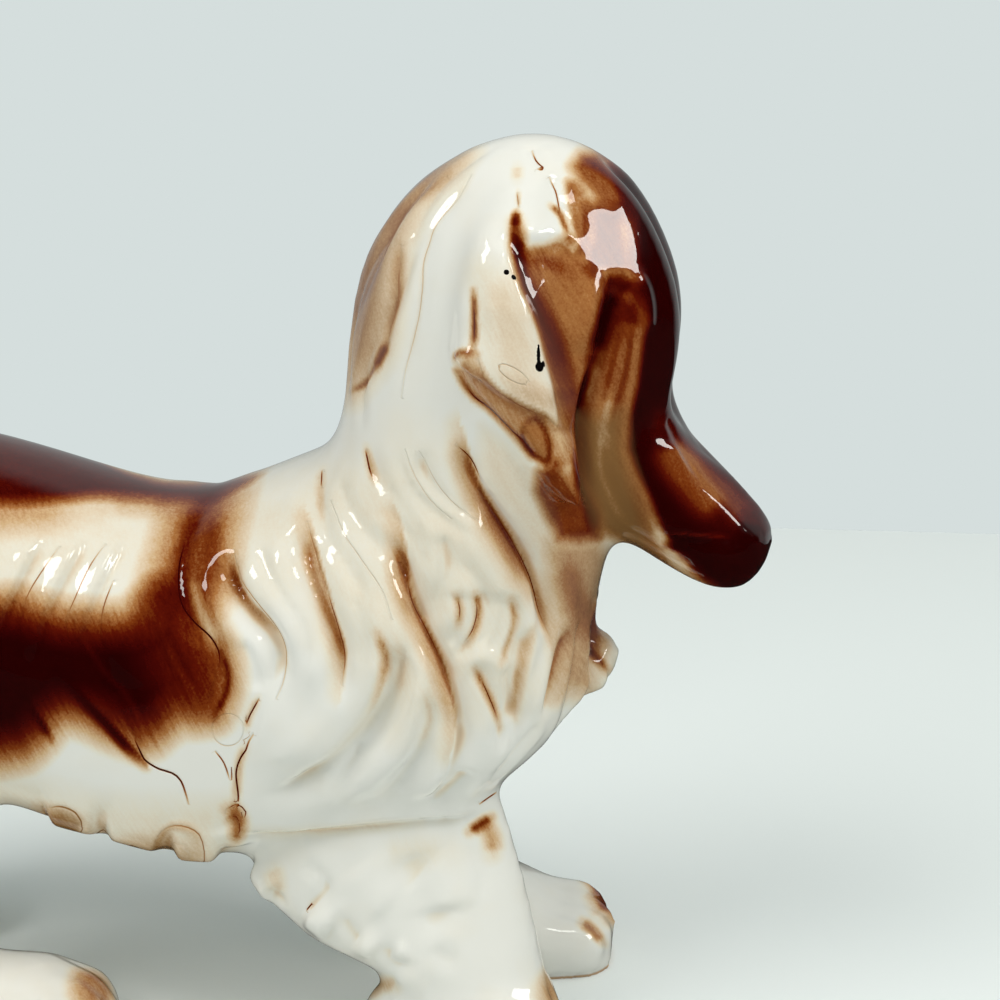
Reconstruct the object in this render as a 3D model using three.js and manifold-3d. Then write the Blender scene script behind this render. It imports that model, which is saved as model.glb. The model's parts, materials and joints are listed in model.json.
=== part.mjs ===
// Glazed earthenware dog figurine, a long-haired spaniel that walks with its head bowed.
// It is a stuck-up casting: hollow slip-cast shells, luted together with slip before firing.
// Millimetres, +Z up. The dog faces +X, its right side is -Y, and it stands on z = 0.
import * as THREE from 'three';
import { mergeVertices } from 'three/addons/utils/BufferGeometryUtils.js';
import Module from 'manifold-3d';

const wasm = await Module();
wasm.setup();

// Driving dimensions of the casting and its joints
const WALL = 5; // thickness of the cast shells
const SLIP = 1.2; // thickness of the luting slip in a joint
const GAP = 0.3; // clearance between neighbouring pieces
const AIR_LEDGE = 4; // ledge left inside a leg's rim round its air hole
const VENT_RADIUS = 4; // kiln vent under the belly
const VENT_X = -118;

// The stride: where each foot stands, and how far the top of its leg lies behind the foot.
// The lean is steepest at the ground and eases off above the knee
const KNEE_HEIGHT = 45;
const STRIDE = {
  front_right_leg: { x: -4, lean: 0 },
  front_left_leg: { x: 9, lean: 45 },
  hind_right_leg: { x: -152, lean: 0 },
  hind_left_leg: { x: -220, lean: -56 },
};

// The neck joint is a slanting plane through these two points of the profile
const NAPE_SEAM = { x: -42, z: 187 };
const THROAT_SEAM = { x: 36, z: 135 };

// A form is a list of sections. Each is [ax, az, bx, bz, half width, y]: two opposite points
// of the outline seen from the side, the half width across it, and its middle in y.

// Barrel from rump to breast: back point, belly point
const BARREL = [
  [-206, 154, -205, 132, 12, 0],
  [-202, 168, -200, 112, 28, 0],
  [-188, 179, -187, 94, 42, 0],
  [-162, 180, -162, 80, 49, 0],
  [-132, 173, -132, 69, 51, 0],
  [-104, 165, -102, 61, 52, 0],
  [-82, 163.5, -78, 57, 53, 0],
  [-58, 172, -54, 64, 55, 0],
  [-32, 182, -30, 72, 56, 0],
  [-4, 177, -6, 76, 54, 0],
  [16, 159, 9, 84, 47, 0],
  [29, 140, 21, 95, 34, 0],
  [34, 127, 29, 104, 16, 0],
];

// Skull and neck from crown to breast: face point, nape point
const SKULL = [
  [22, 270.5, 8, 270.5, 7, 0],
  [34, 265.5, -4, 266, 19, 0],
  [45, 255.5, -19, 256, 28, 0],
  [53, 241, -31, 240, 36, 0],
  [58, 224, -36, 223, 41, 0],
  [57, 206, -38.5, 206, 43, 0],
  [52, 188, -40.5, 189, 45, 0],
  [45, 168, -47, 175, 47.5, 0],
  [38, 150, -52, 160, 50.5, 0],
  [34, 132, -52, 140, 52, 0],
  [26, 108, -45, 112, 47, 0],
];

// Muzzle from inside the skull to the nose: bridge point, jaw point
const MUZZLE = [
  [38, 210, 18, 172, 30, 0],
  [56, 194, 39, 156, 27, 0],
  [61.5, 182.5, 50, 149, 23.5, 0],
  [70.5, 174, 60, 143, 21, 0],
  [78, 166.5, 69, 139.5, 19, 0],
  [83.5, 159, 76, 139.5, 15, 0],
  [85.5, 153, 81, 144, 8, 0],
];

// Breast tuft from inside the chest to its tip: upper point, lower point
const TUFT = [
  [10, 128, 10, 92, 22, 0],
  [27, 126, 24, 102, 17, 0],
  [36, 122, 33, 106, 10, 0],
  [41, 118.5, 39, 110, 5, 0],
];

// Right ear from root to tip: front edge, rear edge. The left ear mirrors it
const EAR = [
  [19, 261, 8, 262, 5, -23],
  [21, 249, 1, 249, 6.5, -33],
  [21.5, 232, -3, 232, 7.5, -41],
  [23.5, 214, -2, 217, 7.5, -44.5],
  [27, 197, 7, 202, 6.5, -45.5],
  [31, 184, 17, 188, 5, -45.5],
  [32, 175, 26, 178, 2.5, -44.5],
];

// Foreleg with its feathering, measured from the foot: front edge, rear edge
const FORELEG = [
  [6, 100, -54, 102, 17, -26],
  [12, 79, -63, 77, 18, -26],
  [16, 66, -63, 60, 19, -27],
  [19, 56, -58, 48, 19.5, -29],
  [22, 44, -46, 38, 19, -31],
  [25, 30, -25, 29, 19, -32],
  [26, 14, -21, 14, 20, -33],
  [26, -5, -22, -5, 20, -33],
];

// Hind leg with its thigh and hock, measured from the foot: front edge, rear edge
const HIND_LEG = [
  [4, 136, -34, 140, 13, -24],
  [9, 118, -40, 122, 19, -30],
  [12, 100, -44, 102, 22, -33],
  [11, 80, -48, 82, 22, -35],
  [6, 62, -48, 60, 20, -36],
  [2, 45, -44, 43, 18, -36],
  [5, 29, -36, 28, 17, -36],
  [10, 13, -32, 12, 18, -36],
  [10, -5, -31, -5, 18, -36],
];

// Paws measured from the foot, heel to toes: top point, sole point
const FORE_PAW = [
  [-30, 9, -30, -4, 8, -33],
  [-26, 18, -26, -6, 15, -33],
  [-6, 32, -6, -6, 21, -33],
  [14, 33, 14, -6, 23, -34],
  [25, 27, 25, -6, 20, -34],
  [31, 13, 31, -4, 12, -34],
];
const HIND_PAW = [
  [-34, 12, -34, -4, 8, -36],
  [-29, 22, -29, -6, 15, -36],
  [-4, 28, -4, -6, 19, -37],
  [24, 26, 24, -6, 22, -38],
  [38, 20, 38, -6, 20, -38],
  [45, 10, 45, -4, 11, -38],
];

// Creases between the main hair locks, drawn from the side as [x, z] and cut into both sides.
// A crease is a groove with sloping banks, widest halfway along and pointed at both ends
const CREASE = { width: 9, depth: 2.8 };
const FLANK_CREASES = [
  [[-194, 152], [-196, 134], [-193, 114]],
  [[-172, 168], [-181, 147], [-181, 120]],
  [[-146, 167], [-154, 148], [-156, 128]],
  [[-119, 158], [-124, 144], [-129, 124]],
  [[-105, 157], [-110, 143], [-102, 120]],
  [[-78, 163], [-83, 151], [-72, 134], [-71, 112]],
  [[-70, 159], [-65, 149], [-53, 137], [-53, 116]],
  [[-47, 168], [-44, 154], [-34, 134], [-36, 114]],
  [[-45, 177], [-38, 164], [-25, 142]],
  [[-25, 172], [-17, 155], [-7, 134], [-1, 112], [-9, 90]],
  [[-26, 143], [-22, 127], [-35, 104], [-62, 87]],
  [[5, 154], [5, 143], [-3, 129]],
  [[2, 134], [8, 117], [7, 94]],
  [[20, 142], [16, 124], [10, 95]],
];
const NECK_CREASES = [
  [[-16, 190], [-7, 179], [7, 169]],
  [[-1, 197], [5, 181], [19, 156], [24, 126]],
  [[-6, 262], [-21, 251], [-29, 234], [-34, 218]],
  [[-18, 247], [-21, 229], [-28, 206]],
  [[0, 263], [-12, 244], [-14, 226], [-20, 200]],
];

// The fold from the eye socket down past the cheek, and the mouth, drawn in the same way
const FACE_CREASES = [
  [[43, 236], [36, 222], [30, 203], [31, 184], [37, 165]],
  [[50, 161], [63, 160], [78, 158]],
];

// Brow arches that stand out over the eye sockets
const BROW = { width: 9, height: 1.8 };
const BROW_ARCH = [[28, 245], [37, 240], [46, 236], [49, 218]];

// Steps along a crease or an arch, and how far its banks start off the skin
const STROKE = { steps: 7, lift: 0.8 };

// Toes: four knuckles side by side on the front of each paw
const TOE_COUNT = 4;
const TOE_PITCH = 9.5;
const TOE_SIZE = { length: 14, width: 5.6, height: 10.5 };
const TOE_SETBACK = 5; // from the front of the paw to the middle of its longest knuckles
const TOE_STAGGER = 3; // how much farther back the next knuckle outward lies
const TOE_SINK = 1; // depth of a knuckle's underside below the sole

// Tail from inside the rump to its feathered tip: upper point, lower point
const TAIL = [
  [-186, 172, -186, 150, 9, 0],
  [-205, 170, -202, 146, 10.5, 0],
  [-222, 165, -213, 138, 11, 0],
  [-238, 157, -224, 124, 10, 0],
  [-251, 145, -237, 110, 8.5, 0],
  [-260, 130, -250, 102, 6.5, 0],
  [-262, 116, -257, 104, 3, 0],
];

// Facets of each form: points around a section, and rings between two neighbouring sections
const OUTER = { around: 20, rings: 2 };
const LIMB = { around: 16, rings: 1 };
const CAVITY = { around: 12, rings: 1 };
const KNUCKLE = { around: 8, rings: 6 };
const STROKE_SIDES = 4;

// Squareness of a section above and below its middle: 2 is an ellipse, more is fuller
const ROUND = { above: 2, below: 2 };
const SKIRTED = { above: 2.2, below: 3.2 };

// A copy of a geometry that holds nothing but its corners, so that shared ones can be merged.
const MERGE = 1e-4;
function bareGeometry(geometry) {
  const bare = geometry.clone();
  bare.deleteAttribute('normal');
  bare.deleteAttribute('uv');
  return bare;
}

// Turns a closed three.js geometry into a solid that can be joined and cut.
function solid(geometry) {
  const merged = mergeVertices(bareGeometry(geometry), MERGE);
  return new wasm.Manifold(new wasm.Mesh({
    numProp: 3,
    vertProperties: new Float32Array(merged.attributes.position.array),
    triVerts: new Uint32Array(merged.index.array),
  }));
}

// Turns a solid back into a three.js geometry with flat facets.
function geometryOf(made) {
  const mesh = made.getMesh();
  const geometry = new THREE.BufferGeometry();
  geometry.setAttribute('position', new THREE.BufferAttribute(mesh.vertProperties, 3));
  geometry.setIndex(new THREE.BufferAttribute(mesh.triVerts, 1));
  const flat = geometry.toNonIndexed();
  flat.computeVertexNormals();
  return flat;
}

// One point of a rounded section, at an angle from the a point of the outline.
function sectionPoint({ centre, toA, aside }, angle, shape) {
  const along = Math.cos(angle);
  const across = Math.sin(angle);
  const power = 2 / (along >= 0 ? shape.above : shape.below);
  const reach = Math.sign(along) * Math.abs(along) ** power;
  const spread = Math.sign(across) * Math.abs(across) ** power;
  return centre.clone().addScaledVector(toA, reach).addScaledVector(aside, spread);
}

const STILL = { x: 0, lean: 0 };

// Lofts a smooth skin through a form's sections, thickened by grow, and closes its ends.
function loft(form, { grow = 0, facets = OUTER, shape = ROUND, stand = STILL, mirror = 1 } = {}) {
  const curve = (pick) => new THREE.CatmullRomCurve3(form.map(pick));
  const lean = (z) => (stand.lean * z) / Math.hypot(z, KNEE_HEIGHT);
  const at = (x, z, y) => new THREE.Vector3(x + stand.x - lean(z), y * mirror, z);
  const a = curve(([ax, az, , , , y]) => at(ax, az, y));
  const b = curve(([, , bx, bz, , y]) => at(bx, bz, y));
  const width = curve(([, , , , half], i) => new THREE.Vector3(half, i, 0));
  const count = (form.length - 1) * facets.rings;
  const rings = [];
  for (let i = 0; i <= count; i++) {
    const t = i / count;
    const pa = a.getPoint(t);
    const pb = b.getPoint(t);
    const toA = pa.clone().sub(pb).multiplyScalar(0.5);
    toA.setLength(toA.length() + grow);
    const aside = new THREE.Vector3(0, width.getPoint(t).x + grow, 0);
    rings.push({ centre: pa.add(pb).multiplyScalar(0.5), toA, aside });
  }
  const ends = [[0, 1], [count, count - 1]];
  ends.forEach(([end, next]) => {
    const outward = rings[end].centre.clone().sub(rings[next].centre).normalize();
    rings[end].centre.addScaledVector(outward, grow);
  });
  return skin(rings, facets.around, shape);
}

// Joins the rings into one closed skin, with a fan over each end.
function skin(rings, around, shape) {
  const points = [];
  const faces = [];
  rings.forEach((ring) => {
    for (let k = 0; k < around; k++) points.push(sectionPoint(ring, (2 * Math.PI * k) / around, shape));
  });
  for (let i = 0; i + 1 < rings.length; i++) {
    for (let k = 0; k < around; k++) {
      const here = i * around + k;
      const beside = i * around + ((k + 1) % around);
      faces.push(here, beside, here + around, beside, beside + around, here + around);
    }
  }
  const last = rings.length - 1;
  points.push(rings[0].centre, rings[last].centre);
  for (let k = 0; k < around; k++) {
    const beside = (k + 1) % around;
    faces.push(points.length - 2, beside, k);
    faces.push(points.length - 1, last * around + k, last * around + beside);
  }
  const geometry = new THREE.BufferGeometry().setFromPoints(points);
  geometry.setIndex(faces);
  const made = solid(geometry);
  if (made.volume() > 0) return made;
  const turned = [];
  for (let i = 0; i < faces.length; i += 3) turned.push(faces[i], faces[i + 2], faces[i + 1]);
  geometry.setIndex(turned);
  return solid(geometry);
}

const union = (solids) => solids.reduce((all, one) => all.add(one));

// A half-space under a plane: a block larger than the figure, its top face through a point.
const REACH = 900;
function under(point, normal) {
  const block = new THREE.BoxGeometry(REACH, REACH, REACH);
  block.translate(0, 0, -REACH / 2);
  const turn = new THREE.Quaternion().setFromUnitVectors(new THREE.Vector3(0, 0, 1), normal);
  block.applyQuaternion(turn);
  block.translate(point.x, point.y, point.z);
  return solid(block);
}
const UP = new THREE.Vector3(0, 0, 1);
const belowHeight = (z) => under(new THREE.Vector3(0, 0, z), UP);

// Body and head as one figure, which the neck seam divides afterwards
const muzzleSolid = (grow, facets) => loft(MUZZLE, { grow, facets: { ...facets, rings: 1 } });
function bodySolid(grow, facets) {
  return union([
    loft(BARREL, { grow, facets, shape: SKIRTED }),
    loft(SKULL, { grow, facets }),
    loft(TUFT, { grow, facets: { ...facets, rings: 1 } }),
  ]);
}
function headSolid(grow, facets) {
  return loft(SKULL, { grow, facets }).add(muzzleSolid(grow, facets));
}
function figureSolid(grow, facets) {
  return bodySolid(grow, facets).add(muzzleSolid(grow, facets));
}

// Sides of the figure, as factors of y
const RIGHT = 1;
const LEFT = -1;

// The smooth figure that creases and arches are laid on, with normals that flow over its facets
const plainFigure = figureSolid(0, OUTER);
const plainSkin = new THREE.Mesh(mergeVertices(bareGeometry(geometryOf(plainFigure)), MERGE));
plainSkin.geometry.computeVertexNormals();

// Where a point of the side view lies on the right side of the smooth figure, and its normal
function ontoSkin(x, z) {
  const ray = new THREE.Raycaster(new THREE.Vector3(x, -REACH, z), new THREE.Vector3(0, 1, 0));
  const [hit] = ray.intersectObject(plainSkin);
  return { place: hit.point, normal: hit.normal.clone().normalize() };
}

// A four-sided stroke along a line of the skin. Its keel rises above the skin, or lies below it where
// the rise is negative, and its banks start a little off the skin on the other side
function stroke(line, width, rise, side) {
  const route = new THREE.CatmullRomCurve3(line.map(([x, z]) => new THREE.Vector3(x, 0, z)));
  const spots = route.getSpacedPoints(STROKE.steps).map((point) => ontoSkin(point.x, point.z));
  const lift = Math.sign(rise) * STROKE.lift;
  const rings = spots.map(({ place, normal }, i) => {
    const swell = Math.sin((Math.PI * (i + 0.5)) / spots.length);
    const next = spots[Math.min(i + 1, spots.length - 1)].place;
    const last = spots[Math.max(i - 1, 0)].place;
    const centre = place.clone().addScaledVector(normal, -lift);
    const toA = normal.clone().multiplyScalar(rise * swell + lift);
    const aside = next.clone().sub(last).cross(normal).setLength((width / 2) * swell);
    [centre, toA, aside].forEach((vector) => vector.setY(vector.y * side));
    return { centre, toA, aside };
  });
  return skin(rings, STROKE_SIDES, ROUND);
}
function onBothSides(lines, width, rise) {
  return union(lines.flatMap((line) => [
    stroke(line, width, rise, RIGHT),
    stroke(line, width, rise, LEFT),
  ]));
}
const creaseLines = [...FLANK_CREASES, ...NECK_CREASES, ...FACE_CREASES];
const creases = onBothSides(creaseLines, CREASE.width, -CREASE.depth);
const brows = onBothSides([BROW_ARCH], BROW.width, BROW.height);
const figureShell = plainFigure.add(brows).subtract(creases).subtract(figureSolid(-WALL, CAVITY));

// Neck joint: torso below the seam, head above it, a ring of slip between
const seamPoint = new THREE.Vector3(NAPE_SEAM.x, 0, NAPE_SEAM.z);
const seamLine = new THREE.Vector3(THROAT_SEAM.x - NAPE_SEAM.x, 0, THROAT_SEAM.z - NAPE_SEAM.z);
const seamNormal = new THREE.Vector3(-seamLine.z, 0, seamLine.x).normalize();
const underSeam = (rise) => under(seamPoint.clone().addScaledVector(seamNormal, rise), seamNormal);
const neckRing = figureShell.intersect(underSeam(SLIP / 2)).subtract(underSeam(-SLIP / 2));
const headShell = figureShell.subtract(underSeam(SLIP / 2 + GAP));
const torsoBlank = figureShell.intersect(underSeam(-SLIP / 2 - GAP));

// What a luted piece meets: the carrier's skin, then a coat of slip, each with its clearance
const bodyCoat = (grow) => bodySolid(grow, OUTER);
const headCoat = (grow) => headSolid(grow, OUTER);
function lute(blank, coat) {
  const slip = blank.intersect(coat(GAP + SLIP)).subtract(coat(GAP));
  const piece = blank.subtract(coat(GAP + SLIP + GAP));
  return { piece, slip };
}

// The four knuckles across the front of a paw
function toes(paw, stand, mirror) {
  const tip = paw[paw.length - 2];
  const middle = (TOE_COUNT - 1) / 2;
  return union(Array.from({ length: TOE_COUNT }, (_, i) => {
    const knuckle = new THREE.SphereGeometry(1, KNUCKLE.around, KNUCKLE.rings);
    const drawnBack = Math.abs(i - middle) * TOE_STAGGER;
    knuckle.scale(TOE_SIZE.length, TOE_SIZE.width, TOE_SIZE.height);
    knuckle.translate(
      tip[0] + stand.x - TOE_SETBACK - drawnBack,
      tip[5] * mirror + (i - middle) * TOE_PITCH,
      TOE_SIZE.height - TOE_SINK,
    );
    return solid(knuckle);
  }));
}

// A hollow leg with its paw, open at the top and flat on the ground
function leg(form, paw, stand, mirror) {
  const place = { stand, mirror };
  const outside = union([
    loft(form, { ...place, facets: LIMB }),
    loft(paw, { ...place, facets: LIMB }),
    toes(paw, stand, mirror),
  ]).subtract(belowHeight(0));
  const inside = loft(form, { ...place, grow: -WALL, facets: CAVITY });
  const blank = outside.subtract(inside.subtract(belowHeight(WALL)));
  const air = loft(form, { ...place, grow: -WALL - AIR_LEDGE, facets: CAVITY });
  return { ...lute(blank, bodyCoat), air };
}

const legs = {
  front_right_leg: leg(FORELEG, FORE_PAW, STRIDE.front_right_leg, RIGHT),
  front_left_leg: leg(FORELEG, FORE_PAW, STRIDE.front_left_leg, LEFT),
  hind_right_leg: leg(HIND_LEG, HIND_PAW, STRIDE.hind_right_leg, RIGHT),
  hind_left_leg: leg(HIND_LEG, HIND_PAW, STRIDE.hind_left_leg, LEFT),
};
const ears = {
  right_ear: lute(loft(EAR, { facets: LIMB, mirror: RIGHT }), headCoat),
  left_ear: lute(loft(EAR, { facets: LIMB, mirror: LEFT }), headCoat),
};
const tail = lute(loft(TAIL, { facets: LIMB }), bodyCoat);

// Air passes from the body into each leg, and out through the vent under the belly
const vent = new THREE.CylinderGeometry(VENT_RADIUS, VENT_RADIUS, REACH, 16);
vent.rotateX(Math.PI / 2);
vent.translate(VENT_X, 0, -REACH / 2 + BARREL[0][1]);
const airways = union([solid(vent), ...Object.values(legs).map((one) => one.air)]);
const torsoShell = torsoBlank.subtract(airways);

// Colours as fired: cream-white glaze, sprayed brown, bare slip
const glaze = (color) => new THREE.MeshStandardMaterial({ color, roughness: 0.12, metalness: 0 });
const CREAM = '#e9e2d4';
const BROWN = '#7a3a18';
const SLIP_WHITE = '#d9cfbf';

const dog = new THREE.Group();
function place(name, made, color) {
  const mesh = new THREE.Mesh(geometryOf(made), glaze(color));
  mesh.name = name;
  dog.add(mesh);
}
place('torso_shell', torsoShell, CREAM);
place('head_shell', headShell, BROWN);
place('neck_slip_ring', neckRing, SLIP_WHITE);
for (const [name, made] of Object.entries(legs)) {
  place(name, made.piece, CREAM);
  place(`${name}_slip_ring`, made.slip, SLIP_WHITE);
}
for (const [name, made] of Object.entries(ears)) {
  place(name, made.piece, CREAM);
  place(`${name}_slip_pad`, made.slip, SLIP_WHITE);
}
place('tail', tail.piece, BROWN);
place('tail_slip_pad', tail.slip, SLIP_WHITE);

// The origin is under the middle of the whole figure, on the ground
const box = new THREE.Box3().setFromObject(dog);
dog.children.forEach((mesh) => {
  mesh.position.set(-(box.min.x + box.max.x) / 2, -(box.min.y + box.max.y) / 2, 0);
});

export default dog;
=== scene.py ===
# %% [markdown]
# # A glazed spaniel, modelled in clay steps
# The figurine was cast in moulds, stuck together with slip, sprayed with brown, and dipped in clear glaze.
# The glaze runs over every joint, so the eye sees one flowing skin of hair locks with soft creases.
# We make it the same way: fuse the shells to one skin, carve the locks, spray the colour, glaze it.

# %% The frame and the tools
import json
import math
import bpy
import numpy as np
from mathutils import Matrix, Vector

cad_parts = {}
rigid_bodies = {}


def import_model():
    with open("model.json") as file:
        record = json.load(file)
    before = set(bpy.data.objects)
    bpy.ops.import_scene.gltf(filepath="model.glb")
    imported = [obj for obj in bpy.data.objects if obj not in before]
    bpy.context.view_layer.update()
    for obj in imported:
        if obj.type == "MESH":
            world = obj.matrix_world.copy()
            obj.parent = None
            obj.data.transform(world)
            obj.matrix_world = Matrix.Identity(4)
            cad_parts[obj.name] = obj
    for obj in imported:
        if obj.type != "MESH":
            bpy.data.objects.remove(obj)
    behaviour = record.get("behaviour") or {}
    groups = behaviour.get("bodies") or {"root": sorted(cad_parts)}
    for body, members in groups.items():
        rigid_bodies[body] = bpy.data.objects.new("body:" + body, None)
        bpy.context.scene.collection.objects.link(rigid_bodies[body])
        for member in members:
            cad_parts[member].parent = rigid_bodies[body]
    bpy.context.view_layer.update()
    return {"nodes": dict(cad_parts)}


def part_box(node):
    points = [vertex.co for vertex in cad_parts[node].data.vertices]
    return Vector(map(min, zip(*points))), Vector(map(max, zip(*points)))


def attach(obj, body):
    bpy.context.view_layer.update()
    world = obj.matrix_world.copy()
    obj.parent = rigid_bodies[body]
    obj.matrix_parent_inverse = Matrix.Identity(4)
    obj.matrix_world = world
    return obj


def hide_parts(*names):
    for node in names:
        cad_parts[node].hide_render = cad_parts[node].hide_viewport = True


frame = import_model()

MM = 0.001
print("nodes in the frame:", len(frame["nodes"]))

# %% [markdown]
# The camera comes first, because creases and colour are drawn in the photo's pixels and cast onto the dog.
# It looks slightly down, and a little from the dog's front.

# %% The camera
PHOTO_SIZE = 1000  # px, the photo is square
FOCAL_PX = 2720
SENSOR_MM = 36
AIM = np.array([93.75, 0, 163.2])  # mm, the point in the middle of the photo
EYE_DISTANCE = 800  # mm
AZIMUTH = math.radians(5)
ELEVATION = math.radians(17)

to_eye = np.array([
    math.sin(AZIMUTH) * math.cos(ELEVATION),
    -math.cos(AZIMUTH) * math.cos(ELEVATION),
    math.sin(ELEVATION),
])
to_right = np.array([math.cos(AZIMUTH), math.sin(AZIMUTH), 0])
to_top = np.cross(to_eye, to_right)
eye = AIM + to_eye * EYE_DISTANCE

bpy.ops.object.camera_add(location=eye * MM)
camera = bpy.context.object
camera.rotation_euler = Matrix((to_right, to_top, to_eye)).transposed().to_euler()
camera.data.sensor_width = SENSOR_MM
camera.data.lens = SENSOR_MM * FOCAL_PX / PHOTO_SIZE
bpy.context.scene.camera = camera


def photo_px(points):
    """The photo pixel of each point in mm."""
    away = points - eye
    depth = -(away @ to_eye)
    across = PHOTO_SIZE / 2 + FOCAL_PX * (away @ to_right) / depth
    down = PHOTO_SIZE / 2 - FOCAL_PX * (away @ to_top) / depth
    return across, down


print("camera lens in mm:", round(camera.data.lens, 2))

# %% [markdown]
# Operators act on what is selected, and meshes are read and written in bulk, as arrays of millimetres.
# A few helpers do that here, so that the later cells can speak of the dog alone.

# %% Helpers for meshes


def only(thing):
    """Selects one object and makes it the active one."""
    bpy.ops.object.select_all(action="DESELECT")
    thing.select_set(True)
    bpy.context.view_layer.objects.active = thing


def mesh_array(thing, part, name, width):
    """One property of all points, edges or faces of a mesh."""
    values = np.empty(len(getattr(thing.data, part)) * width)
    getattr(thing.data, part).foreach_get(name, values)
    return values.reshape(-1, width) if width > 1 else values


def points_of(thing):
    return mesh_array(thing, "vertices", "co", 3) / MM


def normals_of(thing):
    return mesh_array(thing, "vertices", "normal", 3)


def edges_of(thing):
    return mesh_array(thing, "edges", "vertices", 2).astype(int)


def move_to(thing, points):
    thing.data.vertices.foreach_set("co", (points * MM).ravel())
    thing.data.update()


def apply_modifier(thing, kind, **settings):
    modifier = thing.modifiers.new(kind.lower(), kind)
    for name, value in settings.items():
        setattr(modifier, name, value)
    only(thing)
    bpy.ops.object.modifier_apply(modifier=modifier.name)


print("points in the frame:", sum(len(node.data.vertices) for node in frame["nodes"].values()))

# %% [markdown]
# On the real dog the castings are stuck together with slip, and the glaze hides the joints. The shells of
# the frame are hollow and lie 0.3 mm apart. A boolean union would keep hard edges at each joint, so their
# copies are swelled until the joints close, a plug closes the kiln vent, and a voxel remesh turns
# everything into one even skin.

# %% One skin from all the shells
JOINT_SWELL = 0.4  # mm
VOXEL = 2.02  # mm, halved by one subdivision later
MERGE = 0.002  # mm
VENT_AT = Vector((-30.15, 0, 61))  # mm
VENT_RADIUS = 4  # mm
PLUG_RADIUS = 5.2  # mm
PLUG_HEIGHT = 8  # mm

copies = []
for name, source in frame["nodes"].items():
    copy = bpy.data.objects.new("copy_" + name, source.data.copy())
    bpy.context.scene.collection.objects.link(copy)
    copies.append(copy)
bpy.ops.object.select_all(action="DESELECT")
bpy.ops.mesh.primitive_cylinder_add(radius=PLUG_RADIUS * MM, depth=PLUG_HEIGHT * MM, location=VENT_AT * MM)
for copy in copies:
    copy.select_set(True)
bpy.context.view_layer.objects.active = copies[0]
bpy.ops.object.join()
skin = bpy.context.object
skin.name = "skin"
skin.data.name = "skin"
bpy.ops.object.mode_set(mode="EDIT")
bpy.ops.mesh.select_all(action="SELECT")
bpy.ops.mesh.remove_doubles(threshold=MERGE * MM)
bpy.ops.object.mode_set(mode="OBJECT")
apply_modifier(skin, "DISPLACE", strength=JOINT_SWELL * MM, mid_level=0)
apply_modifier(skin, "REMESH", mode="VOXEL", voxel_size=VOXEL * MM)
print("points inside and outside:", len(skin.data.vertices))

# %% [markdown]
# The remesh also made a skin round the hollow inside. The point that lies farthest forward is the nose, and
# all that is linked to it is the outer skin. Everything else is deleted, as by hand with select linked.

# %% Keeping only the outside
bpy.ops.object.mode_set(mode="EDIT")
bpy.ops.mesh.select_all(action="DESELECT")
bpy.ops.object.mode_set(mode="OBJECT")
skin.data.vertices[int(points_of(skin)[:, 0].argmax())].select = True
bpy.ops.object.mode_set(mode="EDIT")
bpy.ops.mesh.select_linked()
bpy.ops.mesh.select_all(action="INVERT")
bpy.ops.mesh.delete(type="VERT")
bpy.ops.object.mode_set(mode="OBJECT")
print("skin points:", len(skin.data.vertices))

# %% [markdown]
# Legs, ears and tail are slim castings, luted to the thicker head and body. They have to be told apart,
# here for the smoothing and at the end for the cuts. A box round each one wouldn't do, as the joints are
# rounded. So every point is asked how much nearer it lies to the casting than to the shell that carries it.

# %% Which casting a point belongs to
HALF_WAY = 0.5  # the share of the way to its neighbours that a point goes in one round
SLIM_NODES = ["right_ear", "left_ear", "tail"]
LEG_NODES = ["front_right_leg", "front_left_leg", "hind_right_leg", "hind_left_leg"]
CARRIER = {"right_ear": "head_shell", "left_ear": "head_shell"}
NEAR_BOX = 8  # mm round a node's box in which a point may belong to it


def spread(values, edges, factor, rounds):
    """Moves each value towards the mean of its neighbours."""
    count = len(values)
    degree = np.bincount(edges.ravel(), minlength=count)
    one, other = edges.T
    for _ in range(rounds):
        columns = []
        for k in range(values.shape[1]):
            total = np.bincount(one, values[other, k], count) + np.bincount(other, values[one, k], count)
            columns.append(total / degree)
        values = values + factor[:, None] * (np.stack(columns, axis=1) - values)
    return values


def evened(values, rounds):
    """One value per point of the skin, softened over the skin."""
    return spread(values[:, None], edges, np.full(len(values), HALF_WAY), rounds)[:, 0]


def smoothed(points, edges, factor, rounds):
    """Smooths without shrinking: what is taken away is smoothed and given back."""
    kept = spread(points, edges, factor, rounds)
    return kept + spread(points - kept, edges, factor, rounds)


def distance_to(node, points):
    """Distance in mm from each point to a node's surface."""
    source = frame["nodes"][node]
    far = np.empty(len(points))
    for i, point in enumerate(points):
        near = source.closest_point_on_mesh(Vector(point * MM))
        far[i] = (near[1] / MM - Vector(point)).length
    return far


def belonging(points, node):
    """How much nearer each point is to a luted node than to the shell that carries it, in mm."""
    low, high = [np.array(corner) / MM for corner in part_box(node)]
    inside = np.all((points > low - NEAR_BOX) & (points < high + NEAR_BOX), axis=1)
    share = np.full(len(points), -float(NEAR_BOX))
    carrier = CARRIER.get(node, "torso_shell")
    share[inside] = distance_to(carrier, points[inside]) - distance_to(node, points[inside])
    return share


points = points_of(skin)
edges = edges_of(skin)
slim = np.zeros(len(points), bool)
for node in SLIM_NODES + LEG_NODES:
    slim |= belonging(points, node) > 0
print("points on slim castings:", int(slim.sum()))

# %% [markdown]
# Clay has no facets. Plain smoothing would take them away but shrink the dog. What it takes away is
# smoothed too and given back, so flat facets vanish while the size stays. Slim parts get less of it, and so
# do the muzzle and the breast tuft.

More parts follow.
